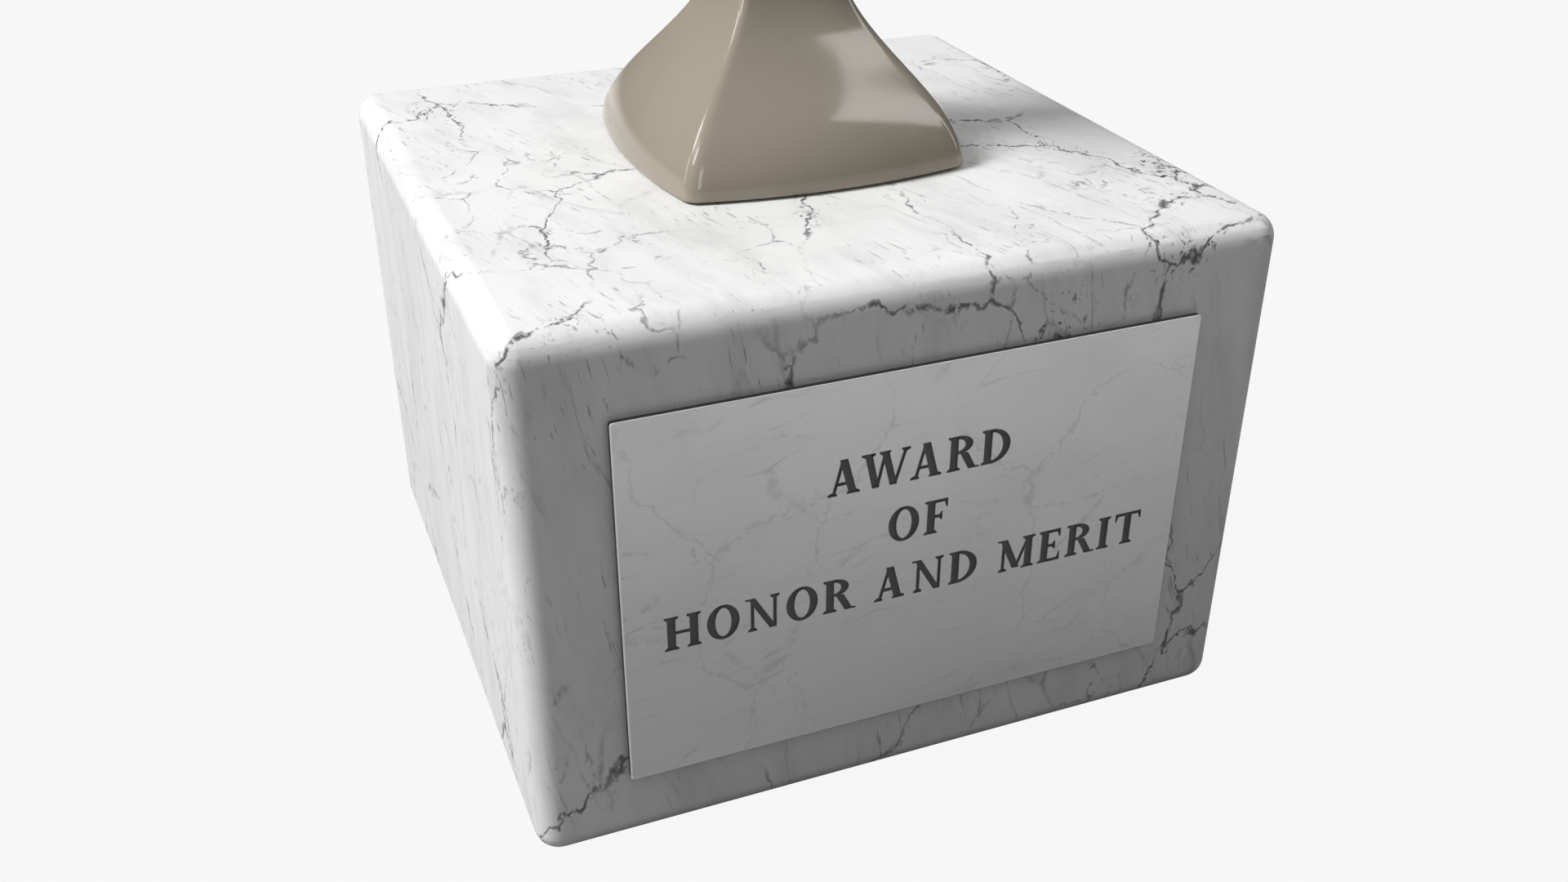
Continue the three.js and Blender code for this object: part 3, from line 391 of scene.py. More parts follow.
@dataclass(frozen=True)
class PolishedMarble:
    """White marble with broken dark veins, polished and a little worn."""

    body: Colour = (0.90, 0.90, 0.90)
    cloud: Colour = (0.58, 0.58, 0.583)
    vein: Colour = (0.05, 0.05, 0.053)
    cloud_share: float = 0.7
    roughness: float = 0.34
    cut_from: Point = (0.113, 0.041, 0.027)

    def make(self, effects: Effects) -> Material:
        """Builds the material.

        Args:
            effects: the shared node groups.

        Returns:
            The material.
        """
        coating = Coating("polished marble")
        tree = coating.tree
        place = tree.mapped(coating.place, scale=(1.0, 1.0, 0.6), offset=self.cut_from)
        figure = tree.group(effects.stone, Vector=place, Level=coating.level())
        marks = tree.group(effects.marks, Vector=coating.place)
        colour = tree.mix(tree.times(figure["Cloud"], self.cloud_share), self.body, self.cloud)
        dark = tree.most(tree.times(figure["Vein"], 0.97), figure["Fleck"], tree.times(figure["Hairline"], 0.45))
        coating.set(Base_Color=tree.mix(dark, colour, self.vein), IOR=1.5, Specular_IOR_Level=0.5)
        rough = tree.plus(tree.times(marks["Smudge"], 0.07), self.roughness, tree.times(figure["Vein"], 0.18))
        height = tree.minus(tree.times(dark, -1.0), tree.times(marks["Scratch"], 0.25))
        coating.set(Roughness=rough, Normal=tree.bump(height, 0.04 * MM))
        return coating.material


@dataclass(frozen=True)
class Lacquer:
    """Glossy taupe lacquer with a trace of orange peel, dust nibs and rubbed patches."""

    body: Colour = (0.33, 0.29, 0.228)
    shade: Colour = (0.30, 0.263, 0.205)
    roughness: float = 0.12

    def make(self, effects: Effects) -> Material:
        """Builds the material.

        Args:
            effects: the shared node groups.

        Returns:
            The material.
        """
        coating = Coating("taupe lacquer")
        tree = coating.tree
        marks = tree.group(effects.marks, Vector=coating.place, Scratch_Scale=80.0, Speck_Scale=300.0)
        tone = tree.ramp(tree.noise(coating.place, 30.0, 3.0), 0.35, 0.7)
        colour = tree.mix(tone, self.body, self.shade)
        coating.set(Base_Color=tree.mix(tree.times(marks["Speck"], 0.1), colour, grey(0.5)), IOR=1.5)
        rough = tree.plus(tree.times(marks["Smudge"], 0.05), self.roughness, tree.times(marks["Scratch"], 0.06))
        coating.set(Roughness=rough, Coat_Weight=0.25, Coat_Roughness=0.08)
        peel = tree.noise(coating.place, 520.0, 2.0, 0.5)
        height = tree.minus(tree.plus(peel, tree.times(marks["Speck"], 0.9)), tree.times(marks["Scratch"], 0.15))
        coating.set(Normal=tree.bump(height, 0.012 * MM))
        return coating.material


@dataclass(frozen=True)
class SatinPlate:
    """Satin steel sheet with a painted highlight along its edge, painted shade on its sides, faint slanting marks
    and darkened engraving.
    """

    body: Colour = (0.53, 0.53, 0.535)
    marked: Colour = (0.3, 0.3, 0.3)
    engraved: Colour = (0.125, 0.125, 0.127)
    # painted highlight: near-white colour on the plate's outer front edge band, standing in for the bevel's
    # reflection of the lights
    edge: Colour = (0.95, 0.95, 0.94)
    # painted shade: near-black colour on the plate's side walls, standing in for the shade along them
    side: Colour = (0.04, 0.04, 0.04)
    roughness: float = 0.34
    highlight_width: float = 0.17 * MM
    side_from: float = 0.14 * MM
    softness: float = 0.05 * MM
    engraving_from: float = 0.2 * MM
    engraving_to: float = 0.28 * MM

    def make(self, effects: Effects) -> Material:
        """Builds the material.

        Args:
            effects: the shared node groups.

        Returns:
            The material.
        """
        coating = Coating("satin plate steel")
        tree = coating.tree
        slant = tree.mapped(coating.place, (-QUARTER, 0.0, -1.49), offset=(0.31, 0.22, 0.05))
        figure = tree.group(effects.stone, Vector=slant, Level=1.0)
        marks = tree.group(effects.marks, Vector=coating.place, Scratch_Scale=150.0)
        inward, depth = self.from_outline(coating)
        deep = tree.ramp(depth, self.engraving_from, self.engraving_to)
        side_shade_band = tree.ramp(inward, 0.3 * MM, 0.6 * MM, 1.0, 0.0)
        outer = tree.ramp(inward, self.highlight_width, self.highlight_width + self.softness, 1.0, 0.0)
        ahead = tree.ramp(depth, self.side_from, self.side_from + self.softness, 1.0, 0.0)
        behind = tree.ramp(depth, self.side_from, self.side_from + self.softness)
        # mask of the painted highlight: the outer band of the front face, made near-white, less metallic and
        # smoother
        bright = tree.times(outer, ahead)
        veins = tree.most(tree.times(figure["Vein"], 0.7), figure["Hairline"], tree.times(figure["Fleck"], 0.8))
        tone = tree.math("ADD", tree.times(figure["Cloud"], 0.16), tree.times(veins, 0.55), clamp=True)
        colour = tree.mix(deep, tree.mix(tone, self.body, self.marked), self.engraved)
        # painted shade on the side walls, behind the front face and near the outline
        colour = tree.mix(tree.times(side_shade_band, behind), colour, self.side)
        metal = tree.minus(0.85, tree.times(tree.most(deep, bright), 0.6))
        coating.set(Base_Color=tree.mix(bright, colour, self.edge), Metallic=metal)
        rough = tree.plus(tree.times(marks["Smudge"], 0.09), self.roughness, tree.times(deep, 0.3))
        coating.set(Roughness=tree.minus(rough, tree.times(bright, 0.15)))
        grain = tree.noise(tree.mapped(coating.place, scale=(0.04, 1.0, 1.0)), 5200.0, 2.0, 0.6)
        pitted = tree.noise(coating.place, 2600.0, 2.0, 0.7)
        height = tree.minus(tree.plus(grain, tree.times(deep, pitted, 4.0)), marks["Scratch"])
        coating.set(Normal=tree.bump(height, 0.004 * MM))
        return coating.material

    def from_outline(self, coating: Coating) -> tuple[Socket, Socket]:
        """Returns how far a point lies in from the plate's outline, and how far behind its face.

        Args:
            coating: the material it belongs to.

        Returns:
            The two distances' sockets, in metres.
        """
        tree = coating.tree
        low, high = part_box("nameplate")
        place = tree.parts(coating.place)
        reaches = []
        for axis in (0, 2):
            middle, half = (low[axis] + high[axis]) / 2, (high[axis] - low[axis]) / 2
            reaches.append(tree.minus(half, tree.math("ABSOLUTE", tree.minus(place[axis], middle))))
        return tree.math("MINIMUM", *reaches), tree.minus(place[1], low[1])


class Bright(Enum):
    """The bare metals: name, colour, roughness and how strongly zinc crystals show."""

    POLISHED = ("polished steel", (0.62, 0.62, 0.61), 0.09, 0.0)
    ZINC = ("zinc-plated steel", (0.47, 0.485, 0.5), 0.32, 0.5)
    THREADED = ("threaded zinc steel", (0.45, 0.465, 0.48), 0.34, 0.5)


@dataclass(frozen=True)
class BareMetal:
    """Polished or zinc-plated steel, with a cut thread if it is a rod."""

    kind: Bright
    thread_pitch: float = 1.0 * MM

    def make(self, effects: Effects) -> Material:
        """Builds the material.

        Args:
            effects: the shared node groups.

        Returns:
            The material.
        """
        name, body, roughness, crystals = self.kind.value
        coating = Coating(name)
        tree = coating.tree
        marks = tree.group(effects.marks, Vector=coating.place, Scratch_Scale=260.0, Speck_Scale=900.0)
        spangle = tree.times(tree.cells(coating.place, 650.0)[1], crystals)
        worn = tree.plus(tree.times(spangle, 0.6), tree.times(marks["Smudge"], 0.25))
        coating.set(Base_Color=tree.mix(worn, body, tuple(0.66 * part for part in body)), Metallic=1.0)
        coating.set(Roughness=tree.plus(tree.times(marks["Smudge"], 0.08), roughness,
                                        tree.times(marks["Scratch"], 0.15), tree.times(spangle, 0.16)))
        height = tree.times(marks["Scratch"], -0.5)
        if self.kind is Bright.THREADED:
            height = tree.plus(height, tree.times(self.thread(coating), 40.0))
        coating.set(Normal=tree.bump(height, 0.008 * MM))
        return coating.material

    def thread(self, coating: Coating) -> Socket:
        """Returns the height of a helical thread round the rod, from 0 to 1.

        Args:
            coating: the material it belongs to.

        Returns:
            The height's socket.
        """
        tree = coating.tree
        axis = CupAxis.from_frame()
        x, y, z = tree.parts(tree.vector("SUBTRACT", coating.place, (axis.x, axis.y, 0.0)))
        turn = tree.math("DIVIDE", tree.math("ARCTAN2", y, x), 2.0 * math.pi)
        climb = tree.minus(tree.math("DIVIDE", z, self.thread_pitch), turn)
        return tree.math("PINGPONG", climb, 0.5)


class Dull(Enum):
    """The dull finishes: name, colour, darker colour, roughness, grain per metre and its height in metres."""

    RUBBER = ("black rubber", (0.02, 0.019, 0.018), (0.034, 0.033, 0.031), 0.72, 1500.0, 0.03 * MM)
    NYLON = ("natural nylon", (0.66, 0.63, 0.56), (0.54, 0.50, 0.43), 0.42, 900.0, 0.01 * MM)
    FOAM = ("white foam tape", (0.62, 0.6, 0.55), (0.4, 0.385, 0.35), 0.9, 2400.0, 0.12 * MM)


@dataclass(frozen=True)
class Moulded:
    """Rubber, nylon or foam: a grained, matt surface."""

    kind: Dull

    def make(self, effects: Effects) -> Material:
        """Builds the material.

        Args:
            effects: the shared node groups.

        Returns:
            The material.
        """
        name, body, shade, roughness, grain, depth = self.kind.value
        coating = Coating(name)
        tree = coating.tree
        marks = tree.group(effects.marks, Vector=coating.place, Speck_Scale=700.0)
        pores = tree.noise(coating.place, grain, 3.0, 0.65)
        tone = tree.plus(tree.ramp(pores, 0.4, 0.65, 0.0, 0.6), tree.times(marks["Speck"], 0.4))
        coating.set(Base_Color=tree.mix(tone, body, shade), Normal=tree.bump(pores, depth))
        coating.set(Roughness=tree.plus(tree.times(marks["Smudge"], 0.1), roughness))
        return coating.material


@dataclass(frozen=True)
class Felt:
    """Dark pressed felt with matted fibres."""

    body: Colour = (0.022, 0.022, 0.021)
    fibre: Colour = (0.065, 0.063, 0.06)

    def make(self, effects: Effects) -> Material:
        """Builds the material.

        Args:
            effects: the shared node groups.

        Returns:
            The material.
        """
        coating = Coating("dark felt")
        tree = coating.tree
        strands = []
        for turn in (0.3, 1.4, 2.5):
            lie = tree.mapped(coating.place, (0.2, 0.1, turn), (1.0, 0.12, 1.0))
            strands.append(tree.ramp(tree.noise(lie, 2600.0, 2.0, 0.6), 0.52, 0.66))
        fibres = tree.most(*strands)
        lint = tree.group(effects.marks, Vector=coating.place, Speck_Scale=260.0)
        tone = tree.most(tree.times(fibres, 0.7), lint["Speck"])
        coating.set(Base_Color=tree.mix(tone, self.body, self.fibre))
        coating.set(Roughness=tree.ramp(fibres, 0.0, 1.0, 0.98, 0.85))
        coating.set(Sheen_Weight=0.35, Sheen_Roughness=0.5, Specular_IOR_Level=0.2)
        coating.set(Normal=tree.bump(fibres, 0.15 * MM))
        return coating.material


class Palette:
    """Every finish of the trophy, made once."""

    def __init__(self, effects: Effects) -> None:
        """Makes the materials.

        Args:
            effects: the shared node groups.
        """
        self.marble = PolishedMarble().make(effects)
        self.lacquer = Lacquer().make(effects)
        self.plate = SatinPlate().make(effects)
        self.felt = Felt().make(effects)
        self.polished, self.zinc, self.threaded = (BareMetal(kind).make(effects) for kind in Bright)
        self.rubber, self.nylon, self.foam = (Moulded(kind).make(effects) for kind in Dull)


# ---------------------------------------------------------------- the workbench

DOUBLES = 0.002 * MM  # points closer than this are one point
ROD_HOLE = 3.9 * MM  # radius of the hole for the tie rod
DOWELS = ("foot_dowel_right", "foot_dowel_left")


@dataclass(frozen=True)
class CupAxis:
    """Where the cup's upright axis stands, and what is turned or drilled round it."""

    x: float
    y: float

    @classmethod
    def from_frame(cls) -> "CupAxis":
        """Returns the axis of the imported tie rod."""
        low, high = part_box("tie_rod")
        return cls((low[0] + high[0]) / 2, (low[1] + high[1]) / 2)

    def turn(self, profile: Profile, steps: int) -> Piece:
        """Returns a piece turned from a profile, with this many steps round the axis."""
        return Bench.turn(profile, steps, self.x, self.y)

    def post(self, radius: float, bottom: float, top: float, sides: int = 64) -> Piece:
        """Returns an upright prism or cylinder on the axis."""
        return Bench.post(radius, bottom, top, self.x, self.y, sides)


class Bench:
    """Modelling steps that the pieces share. Each works on the active object."""

    @staticmethod
    def start() -> None:
        """Leaves edit mode and deselects everything."""
        if bpy.context.object is not None and bpy.context.object.mode != "OBJECT":
            bpy.ops.object.mode_set(mode="OBJECT")
        bpy.ops.object.select_all(action="DESELECT")

    @staticmethod
    def take(piece: Piece) -> None:
        """Makes a piece the active one and the only selected one."""
        Bench.start()
        piece.select_set(True)
        bpy.context.view_layer.objects.active = piece

    @staticmethod
    def settle() -> Piece:
        """Puts the active piece's place, turn and scale in its mesh, and returns the piece."""
        bpy.ops.object.transform_apply(location=True, rotation=True, scale=True)
        return bpy.context.object

    @staticmethod
    def edit(mode: str, action: str = "SELECT") -> None:
        """Enters edit mode with everything selected or deselected, in this select mode."""
        bpy.ops.object.mode_set(mode="EDIT")
        bpy.ops.mesh.select_mode(type=mode)
        bpy.ops.mesh.select_all(action=action)

    @staticmethod
    def modify(piece: Piece, kind: str, **settings: object) -> None:
        """Puts a modifier on a piece and applies it.

        Args:
            piece: the piece.
            kind: the modifier's type.
            **settings: its properties.
        """
        Bench.take(piece)
        modifier = piece.modifiers.new(kind.lower(), kind)
        for name, value in settings.items():
            setattr(modifier, name, value)
        bpy.ops.object.modifier_apply(modifier=modifier.name)

    @staticmethod
    def select_edges(wanted: Callable[[Vector, Vector], bool]) -> None:
        """Selects the edges whose two end points a test accepts.

        Args:
            wanted: the test, given an edge's ends.
        """
        bpy.ops.object.mode_set(mode="OBJECT")
        mesh = bpy.context.object.data
        for edge in mesh.edges:
            edge.select = wanted(mesh.vertices[edge.vertices[0]].co, mesh.vertices[edge.vertices[1]].co)
        bpy.ops.object.mode_set(mode="EDIT")

    @staticmethod
    def heal() -> None:
        """Merges doubles and turns every face outwards, then leaves edit mode."""
        bpy.ops.mesh.select_all(action="SELECT")
        bpy.ops.mesh.remove_doubles(threshold=DOUBLES)
        bpy.ops.mesh.normals_make_consistent(inside=False)
        bpy.ops.object.mode_set(mode="OBJECT")

    @staticmethod
    def block(low: Sequence[float], high: Sequence[float]) -> Piece:
        """Adds a box between two corners, with its place in its mesh.

        Args:
            low: the lowest corner.
            high: the highest corner.

        Returns:
            The box.
        """
        Bench.start()
        middle = [(a + b) / 2 for a, b in zip(low, high)]
        bpy.ops.mesh.primitive_cube_add(size=1.0, location=middle)
        bpy.context.object.scale = [b - a for a, b in zip(low, high)]
        return Bench.settle()

    @staticmethod
    def post(radius: float, bottom: float, top: float, x: float, y: float, sides: int = 64) -> Piece:
        """Adds an upright prism or cylinder, with its place in its mesh.

        Args:
            radius: to its corners.
            bottom: its lowest height.
            top: its highest height.
            x: its axis along X.
            y: its axis along Y.
            sides: its number of sides.

        Returns:
            The post.
        """
        Bench.start()
        place = (x, y, (bottom + top) / 2)
        bpy.ops.mesh.primitive_cylinder_add(vertices=sides, radius=radius, depth=top - bottom, location=place)
        return Bench.settle()

    @staticmethod
    def turn(profile: Profile, steps: int, x: float = 0.0, y: float = 0.0) -> Piece:
        """Draws a profile by extruding one point along it, then spins it round an upright axis.

        Args:
            profile: radius and height of each point, in order.
            steps: the number of steps round the axis.
            x: the axis along X.
            y: the axis along Y.

        Returns:
            The turned piece.
        """
        Bench.start()
        bpy.ops.mesh.primitive_plane_add(size=MM, location=(0.0, 0.0, 0.0))
        Bench.edit("VERT")
        bpy.ops.mesh.merge(type="CENTER")
        bpy.ops.mesh.select_all(action="SELECT")
        radius, height = profile[0]
        bpy.ops.transform.translate(value=(x + radius, y, height))
        for next_radius, next_height in profile[1:]:
            step = (next_radius - radius, 0.0, next_height - height)
            bpy.ops.mesh.extrude_vertices_move(TRANSFORM_OT_translate={"value": step})
            radius, height = next_radius, next_height
        bpy.ops.mesh.select_all(action="SELECT")
        bpy.ops.mesh.spin(steps=steps, angle=2.0 * math.pi, center=(x, y, 0.0), axis=(0.0, 0.0, 1.0))
        Bench.heal()
        return bpy.context.object

    @staticmethod
    def cut(piece: Piece, tool: Piece, operation: str = "DIFFERENCE") -> None:
        """Cuts, joins or keeps the common part of a piece and a tool, and removes the tool.

        Args:
            piece: the piece to change.
            tool: the other solid.
            operation: DIFFERENCE, UNION or INTERSECT.
        """
        Bench.modify(piece, "BOOLEAN", operation=operation, solver="EXACT", object=tool)
        bpy.data.objects.remove(tool)

    @staticmethod
    def ease(piece: Piece, width: float, segments: int, sharper_than: float) -> None:
        """Rounds a piece's sharp edges.

        Args:
            piece: the piece.
            width: the rounding's width.
            segments: steps across the rounding.
            sharper_than: the least angle of an edge that is rounded, in degrees.
        """
        Bench.modify(piece, "BEVEL", width=width, segments=segments, limit_method="ANGLE",
                     angle_limit=math.radians(sharper_than), harden_normals=False)

    @staticmethod
    def smooth(piece: Piece, angle: float, weighted: bool = False) -> None:
        """Shades a piece smooth up to an angle.

        Args:
            piece: the piece.
            angle: the largest angle that is smoothed, in degrees.
            weighted: whether large flat faces keep their own normal.
        """
        Bench.take(piece)
        bpy.ops.object.shade_smooth_by_angle(angle=math.radians(angle))
        if weighted:
            Bench.modify(piece, "WEIGHTED_NORMAL", keep_sharp=True)

    @staticmethod
    def hand_over(piece: Piece, name: str, material: Material, slot: str, *nodes: str) -> None:
        """Names and dresses a finished piece and puts it in place of CAD nodes.

        Args:
            piece: the piece.
            name: its name.
            material: its finish.
            slot: not used.
            *nodes: the CAD nodes that it stands for.
        """
        piece.name = name
        piece.data.name = name
        piece.data.materials.clear()
        piece.data.materials.append(material)
        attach(piece, ROOT)
        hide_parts(*nodes)
        LOG.info("%s: %d faces, for %s", name, len(piece.data.polygons), ", ".join(nodes))


def dress(node: str, material: Material) -> None:
    """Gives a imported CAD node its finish."""
    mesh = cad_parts[node].data
    mesh.materials.clear()
    mesh.materials.append(material)
    LOG.info("%s: packed shape, %s", node, material.name)


def arc(centre: tuple[float, float], wide: float, tall: float, angles: Sequence[float]) -> Profile:
    """Returns the points of an oval arc.

    Args:
        centre: the oval's radius and height from the turning axis.
        wide: its half width.
        tall: its half height.
        angles: where each point lies, in radians, from outwards to upwards.

    Returns:
        Radius and height of each point.
    """
    return [(centre[0] + wide * math.cos(angle), centre[1] + tall * math.sin(angle)) for angle in angles]


def sweep(start: float, end: float, steps: int) -> list[float]:
    """Returns evenly spaced values from start to end, both included."""
    return [lerp(start, end, step / steps) for step in range(steps + 1)]


def smoothstep(value: float, low: float, high: float) -> float:
    """Returns 0 below low, 1 above high and a smooth climb between."""
    share = min(max((value - low) / (high - low), 0.0), 1.0)
    return share * share * (3.0 - 2.0 * share)


def lerp(first: float, second: float, share: float) -> float:
    """Returns the value this share of the way from first to second."""
    return first + (second - first) * share


@dataclass(frozen=True)
class BowedSquare:
    """A square section whose sides bow out and whose ridges are eased."""

    bulge: float
    softness: float

    def side(self, from_normal: float) -> float:
        """Returns the reach of one side's arc, at this angle from its middle."""
        corner = 1.0 / (1.0 + self.bulge)
        rise = self.bulge * corner
        radius = (corner * corner + rise * rise) / (2.0 * rise)
        centre = radius - 1.0
        along = centre * math.cos(from_normal)
        return math.sqrt(along * along - centre * centre + radius * radius) - along

    def reach(self, angle: float) -> float:
        """Returns the section's reach in a direction, for a reach of 1 at the middle of its sides."""
        from_normal = abs((angle + QUARTER / 2) % QUARTER - QUARTER / 2)
        near, far = self.side(from_normal), self.side(QUARTER - from_normal)
        blend = max(0.0, self.softness - abs(far - near))
        return min(near, far) - (blend * blend / (4.0 * self.softness) if self.softness > 0.0 else 0.0)


def press_square(piece: Piece, axis: CupAxis, section_at: Callable[[float], BowedSquare],
                 crowding: float) -> None:
    """Presses a turned piece to bowed-square sections, with its steps drawn towards the ridges.

    Args:
        piece: the turned piece.
        axis: its axis.
        section_at: the section at a height.
        crowding: how strongly the steps are drawn to the ridges, from 0 to 1.
    """
    for vertex in piece.data.vertices:
        x, y, z = vertex.co.x - axis.x, vertex.co.y - axis.y, vertex.co.z
        even = math.atan2(y, x)
        angle = even + crowding * math.sin(4.0 * even) / 4.0
        radius = math.hypot(x, y) * section_at(z).reach(angle)
        vertex.co = (axis.x + radius * math.cos(angle), axis.y + radius * math.sin(angle), z)
    piece.data.update()


# ---------------------------------------------------------------- base


@dataclass
class Base:
    """The marble block with its felt, foam tape and nameplate."""

    palette: Palette
    edge_radius: float = 3.3 * MM
    edge_steps: int = 10
    felt_corner: float = 4.0 * MM
    clearance: float = 0.3 * MM
    counterbore: float = 12.0 * MM
    felt_nap: float = 0.12 * MM

    def build(self) -> None:
        """Builds the block and the felt, and dresses the tape and the nameplate."""
        self.build_block()
        self.build_felt()
        dress("plate_tape", self.palette.foam)
        dress("nameplate", self.palette.plate)

    def build_block(self) -> None:
        """Builds the marble block with its eased edges, tape pocket, felt recess and bores."""
        low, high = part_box("marble_block")
        felt_low, felt_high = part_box("felt_pad")
        tape_low, tape_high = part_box("plate_tape")
        axis = CupAxis.from_frame()
        block = Bench.block(low, high)
        Bench.edit("EDGE")
        bpy.ops.mesh.bevel(offset=self.edge_radius, segments=self.edge_steps, profile=0.5, affect="EDGES")
        Bench.heal()
        gap = self.clearance
        Bench.cut(block, Bench.block((tape_low[0] - gap, low[1] - gap, tape_low[2] - gap),
                                     [reach + gap for reach in tape_high]))
        recess = Bench.block((felt_low[0] - gap, felt_low[1] - gap, low[2] - MM),
                             [reach + gap for reach in felt_high])
        self.round_uprights(recess, self.felt_corner)
        Bench.cut(block, recess)
        washer_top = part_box("base_washer")[1][2]
        Bench.cut(block, axis.post(self.counterbore, low[2] - MM, washer_top + gap))
        Bench.cut(block, axis.post(ROD_HOLE, low[2], high[2] + MM))
        for dowel in DOWELS:
            bottom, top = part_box(dowel)
            radius = (top[1] - bottom[1]) / 2 + gap
            x, y = (bottom[0] + top[0]) / 2, (bottom[1] + top[1]) / 2
            Bench.cut(block, Bench.post(radius, bottom[2] - gap, high[2] + MM, x, y, 32))
        Bench.smooth(block, 25.0, weighted=True)
        Bench.hand_over(block, "polished_block", self.palette.marble, "marble", "marble_block")

    def round_uprights(self, piece: Piece, radius: float) -> None:
        """Rounds the upright edges of a box.

        Args:
            piece: the box.
            radius: the rounding's radius.
        """
        bpy.context.view_layer.objects.active = piece
        Bench.edit("EDGE", "DESELECT")
        Bench.select_edges(lambda a, b: math.hypot(a.x - b.x, a.y - b.y) < DOUBLES)
        bpy.ops.mesh.bevel(offset=radius, segments=8, profile=0.5, affect="EDGES")
        Bench.heal()

    def build_felt(self) -> None:
        """Builds the felt with eased edges and an uneven nap."""
        low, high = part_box("felt_pad")
        felt = Bench.block((low[0], low[1], low[2] + self.felt_nap), high)
        self.round_uprights(felt, self.felt_corner)
        Bench.ease(felt, 0.35 * MM, 3, 40.0)
        Bench.modify(felt, "REMESH", mode="VOXEL", voxel_size=0.75 * MM)
        nap = bpy.data.textures.new("nap", "CLOUDS")
        nap.noise_scale = 2.1 * MM
        Bench.modify(felt, "DISPLACE", texture=nap, texture_coords="LOCAL", strength=self.felt_nap, mid_level=0.5)
        Bench.smooth(felt, 60.0)
        Bench.hand_over(felt, "napped_felt", self.palette.felt, "felt", "felt_pad")


# ---------------------------------------------------------------- foot, stem and collars


@dataclass
class Pedestal:
    """The flared foot, the baluster stem and the two collars."""

    palette: Palette
    axis: CupAxis = field(default_factory=CupAxis.from_frame)
    foot_half_width: float = 19.5 * MM
    neck_half_width: float = 6.4 * MM
    foot_bulge: float = 0.12
    neck_bulge: float = 0.03
    flare_share: float = 0.88
    flare_fullness: float = 1.22
    ridge_softness: float = 1.5 * MM
    foot_edge: float = 0.35 * MM
    gasket_inset: float = 3.7 * MM
    gasket_pocket: float = 1.3 * MM
    stem_half_width: float = 6.2 * MM
    stem_swell: float = 3.6 * MM
    stem_bulge: float = 0.06
    steps_round: int = 144
    steps_up: int = 56
    crowding: float = 0.55

    def build(self) -> None:
        """Builds the foot, stem and collars, and dresses the gasket and dowels."""
        self.build_foot()
        self.build_stem()
        for node in ("lower_collar", "upper_collar"):
            self.build_collar(node)
        dress("foot_gasket", self.palette.rubber)
        for node in DOWELS:
            dress(node, self.palette.zinc)

    def foot_side(self, share: float) -> float:
        """Returns the foot's radius across its sides, at a share of its height."""
        drop = (1.0 + math.cos(math.pi * min(share / self.flare_share, 1.0))) / 2.0
        half = self.neck_half_width + (self.foot_half_width - self.neck_half_width) * drop ** self.flare_fullness
        return half * (1.0 + self.bulge_at(share))

    def bulge_at(self, share: float) -> float:
        """Returns how far the foot's sides bow out, at a share of its height."""
        return lerp(self.foot_bulge, self.neck_bulge, smoothstep(share, 0.2, 0.6))

    def build_foot(self) -> None:
        """Builds the foot as a turned shell, pressed square, with its gasket pocket and rod hole."""
        low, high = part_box("foot")
        bottom, height = low[2], high[2] - low[2]
        edge = self.foot_edge
        side = self.foot_side(0.0)
        pocket = side - self.gasket_inset
        shares = sweep(0.02, 1.0, self.steps_up)
        ceiling = bottom + self.gasket_pocket
        turns = [turn - QUARTER for turn in (0.0, 0.4, 0.8, 1.2, QUARTER)]
        profile = [(ROD_HOLE, ceiling), (pocket, ceiling), (pocket, bottom)]
        profile += arc((side - edge, bottom + edge), edge, edge, turns)
        profile += [(self.foot_side(share), bottom + share * height) for share in shares]
        profile += [(ROD_HOLE, high[2]), profile[0]]
        foot = self.axis.turn(profile, self.steps_round)

        def section_at(z: float) -> BowedSquare:
            """Returns the foot's section at a height."""
            share = min(max((z - bottom) / height, 0.0), 1.0)
            return BowedSquare(self.bulge_at(share), self.ridge_softness / self.foot_side(share))

        press_square(foot, self.axis, section_at, self.crowding)
        Bench.smooth(foot, 40.0)
        Bench.hand_over(foot, "flared_foot", self.palette.lacquer, "lacquer", "foot")

    def build_stem(self) -> None:
        """Builds the baluster stem, pressed square."""
        low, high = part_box("stem")
        bottom, height = low[2], high[2] - low[2]

        def side(share: float) -> float:
            """Returns the stem's radius across its sides, at a share of its height."""
            half = self.stem_half_width + self.stem_swell * math.sin(math.pi * share) ** 2
            return half * (1.0 + self.stem_bulge)

        profile = [(ROD_HOLE, bottom)]
        profile += [(side(share), bottom + height * share) for share in sweep(0.0, 1.0, self.steps_up)]
        profile += [(ROD_HOLE, high[2]), profile[0]]
        stem = self.axis.turn(profile, self.steps_round)

        def section_at(z: float) -> BowedSquare:
            """Returns the stem's section at a height."""
            share = min(max((z - bottom) / height, 0.0), 1.0)
            return BowedSquare(self.stem_bulge, self.ridge_softness / side(share))

        press_square(stem, self.axis, section_at, self.crowding)
        Bench.smooth(stem, 40.0)
        Bench.hand_over(stem, "baluster_stem", self.palette.lacquer, "lacquer", "stem")

    def build_collar(self, node: str) -> None:
        """Builds a half-round polished collar with a fine groove under and over its bead.

        Args:
            node: the CAD collar that it stands for.
        """
        low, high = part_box(node)
        radius, bead = (high[0] - low[0]) / 2, (high[2] - low[2]) / 2
        middle = (low[2] + high[2]) / 2
        groove = 0.16 * MM
        profile = [(ROD_HOLE, low[2]), (radius - bead - groove, low[2])]
        for share in sweep(-0.5, 0.5, 28):
            reach = radius - bead + bead * math.cos(math.pi * share)
            dip = groove if 0.30 < abs(share) < 0.34 else 0.0
            profile.append((reach - dip, middle + bead * math.sin(math.pi * share)))
        profile += [(radius - bead - groove, high[2]), (ROD_HOLE, high[2]), profile[0]]
        collar = self.axis.turn(profile, 96)
        Bench.smooth(collar, 35.0)
        Bench.hand_over(collar, f"beaded_{node}", self.palette.polished, "polished_steel", node)


# ---------------------------------------------------------------- bowl and handles


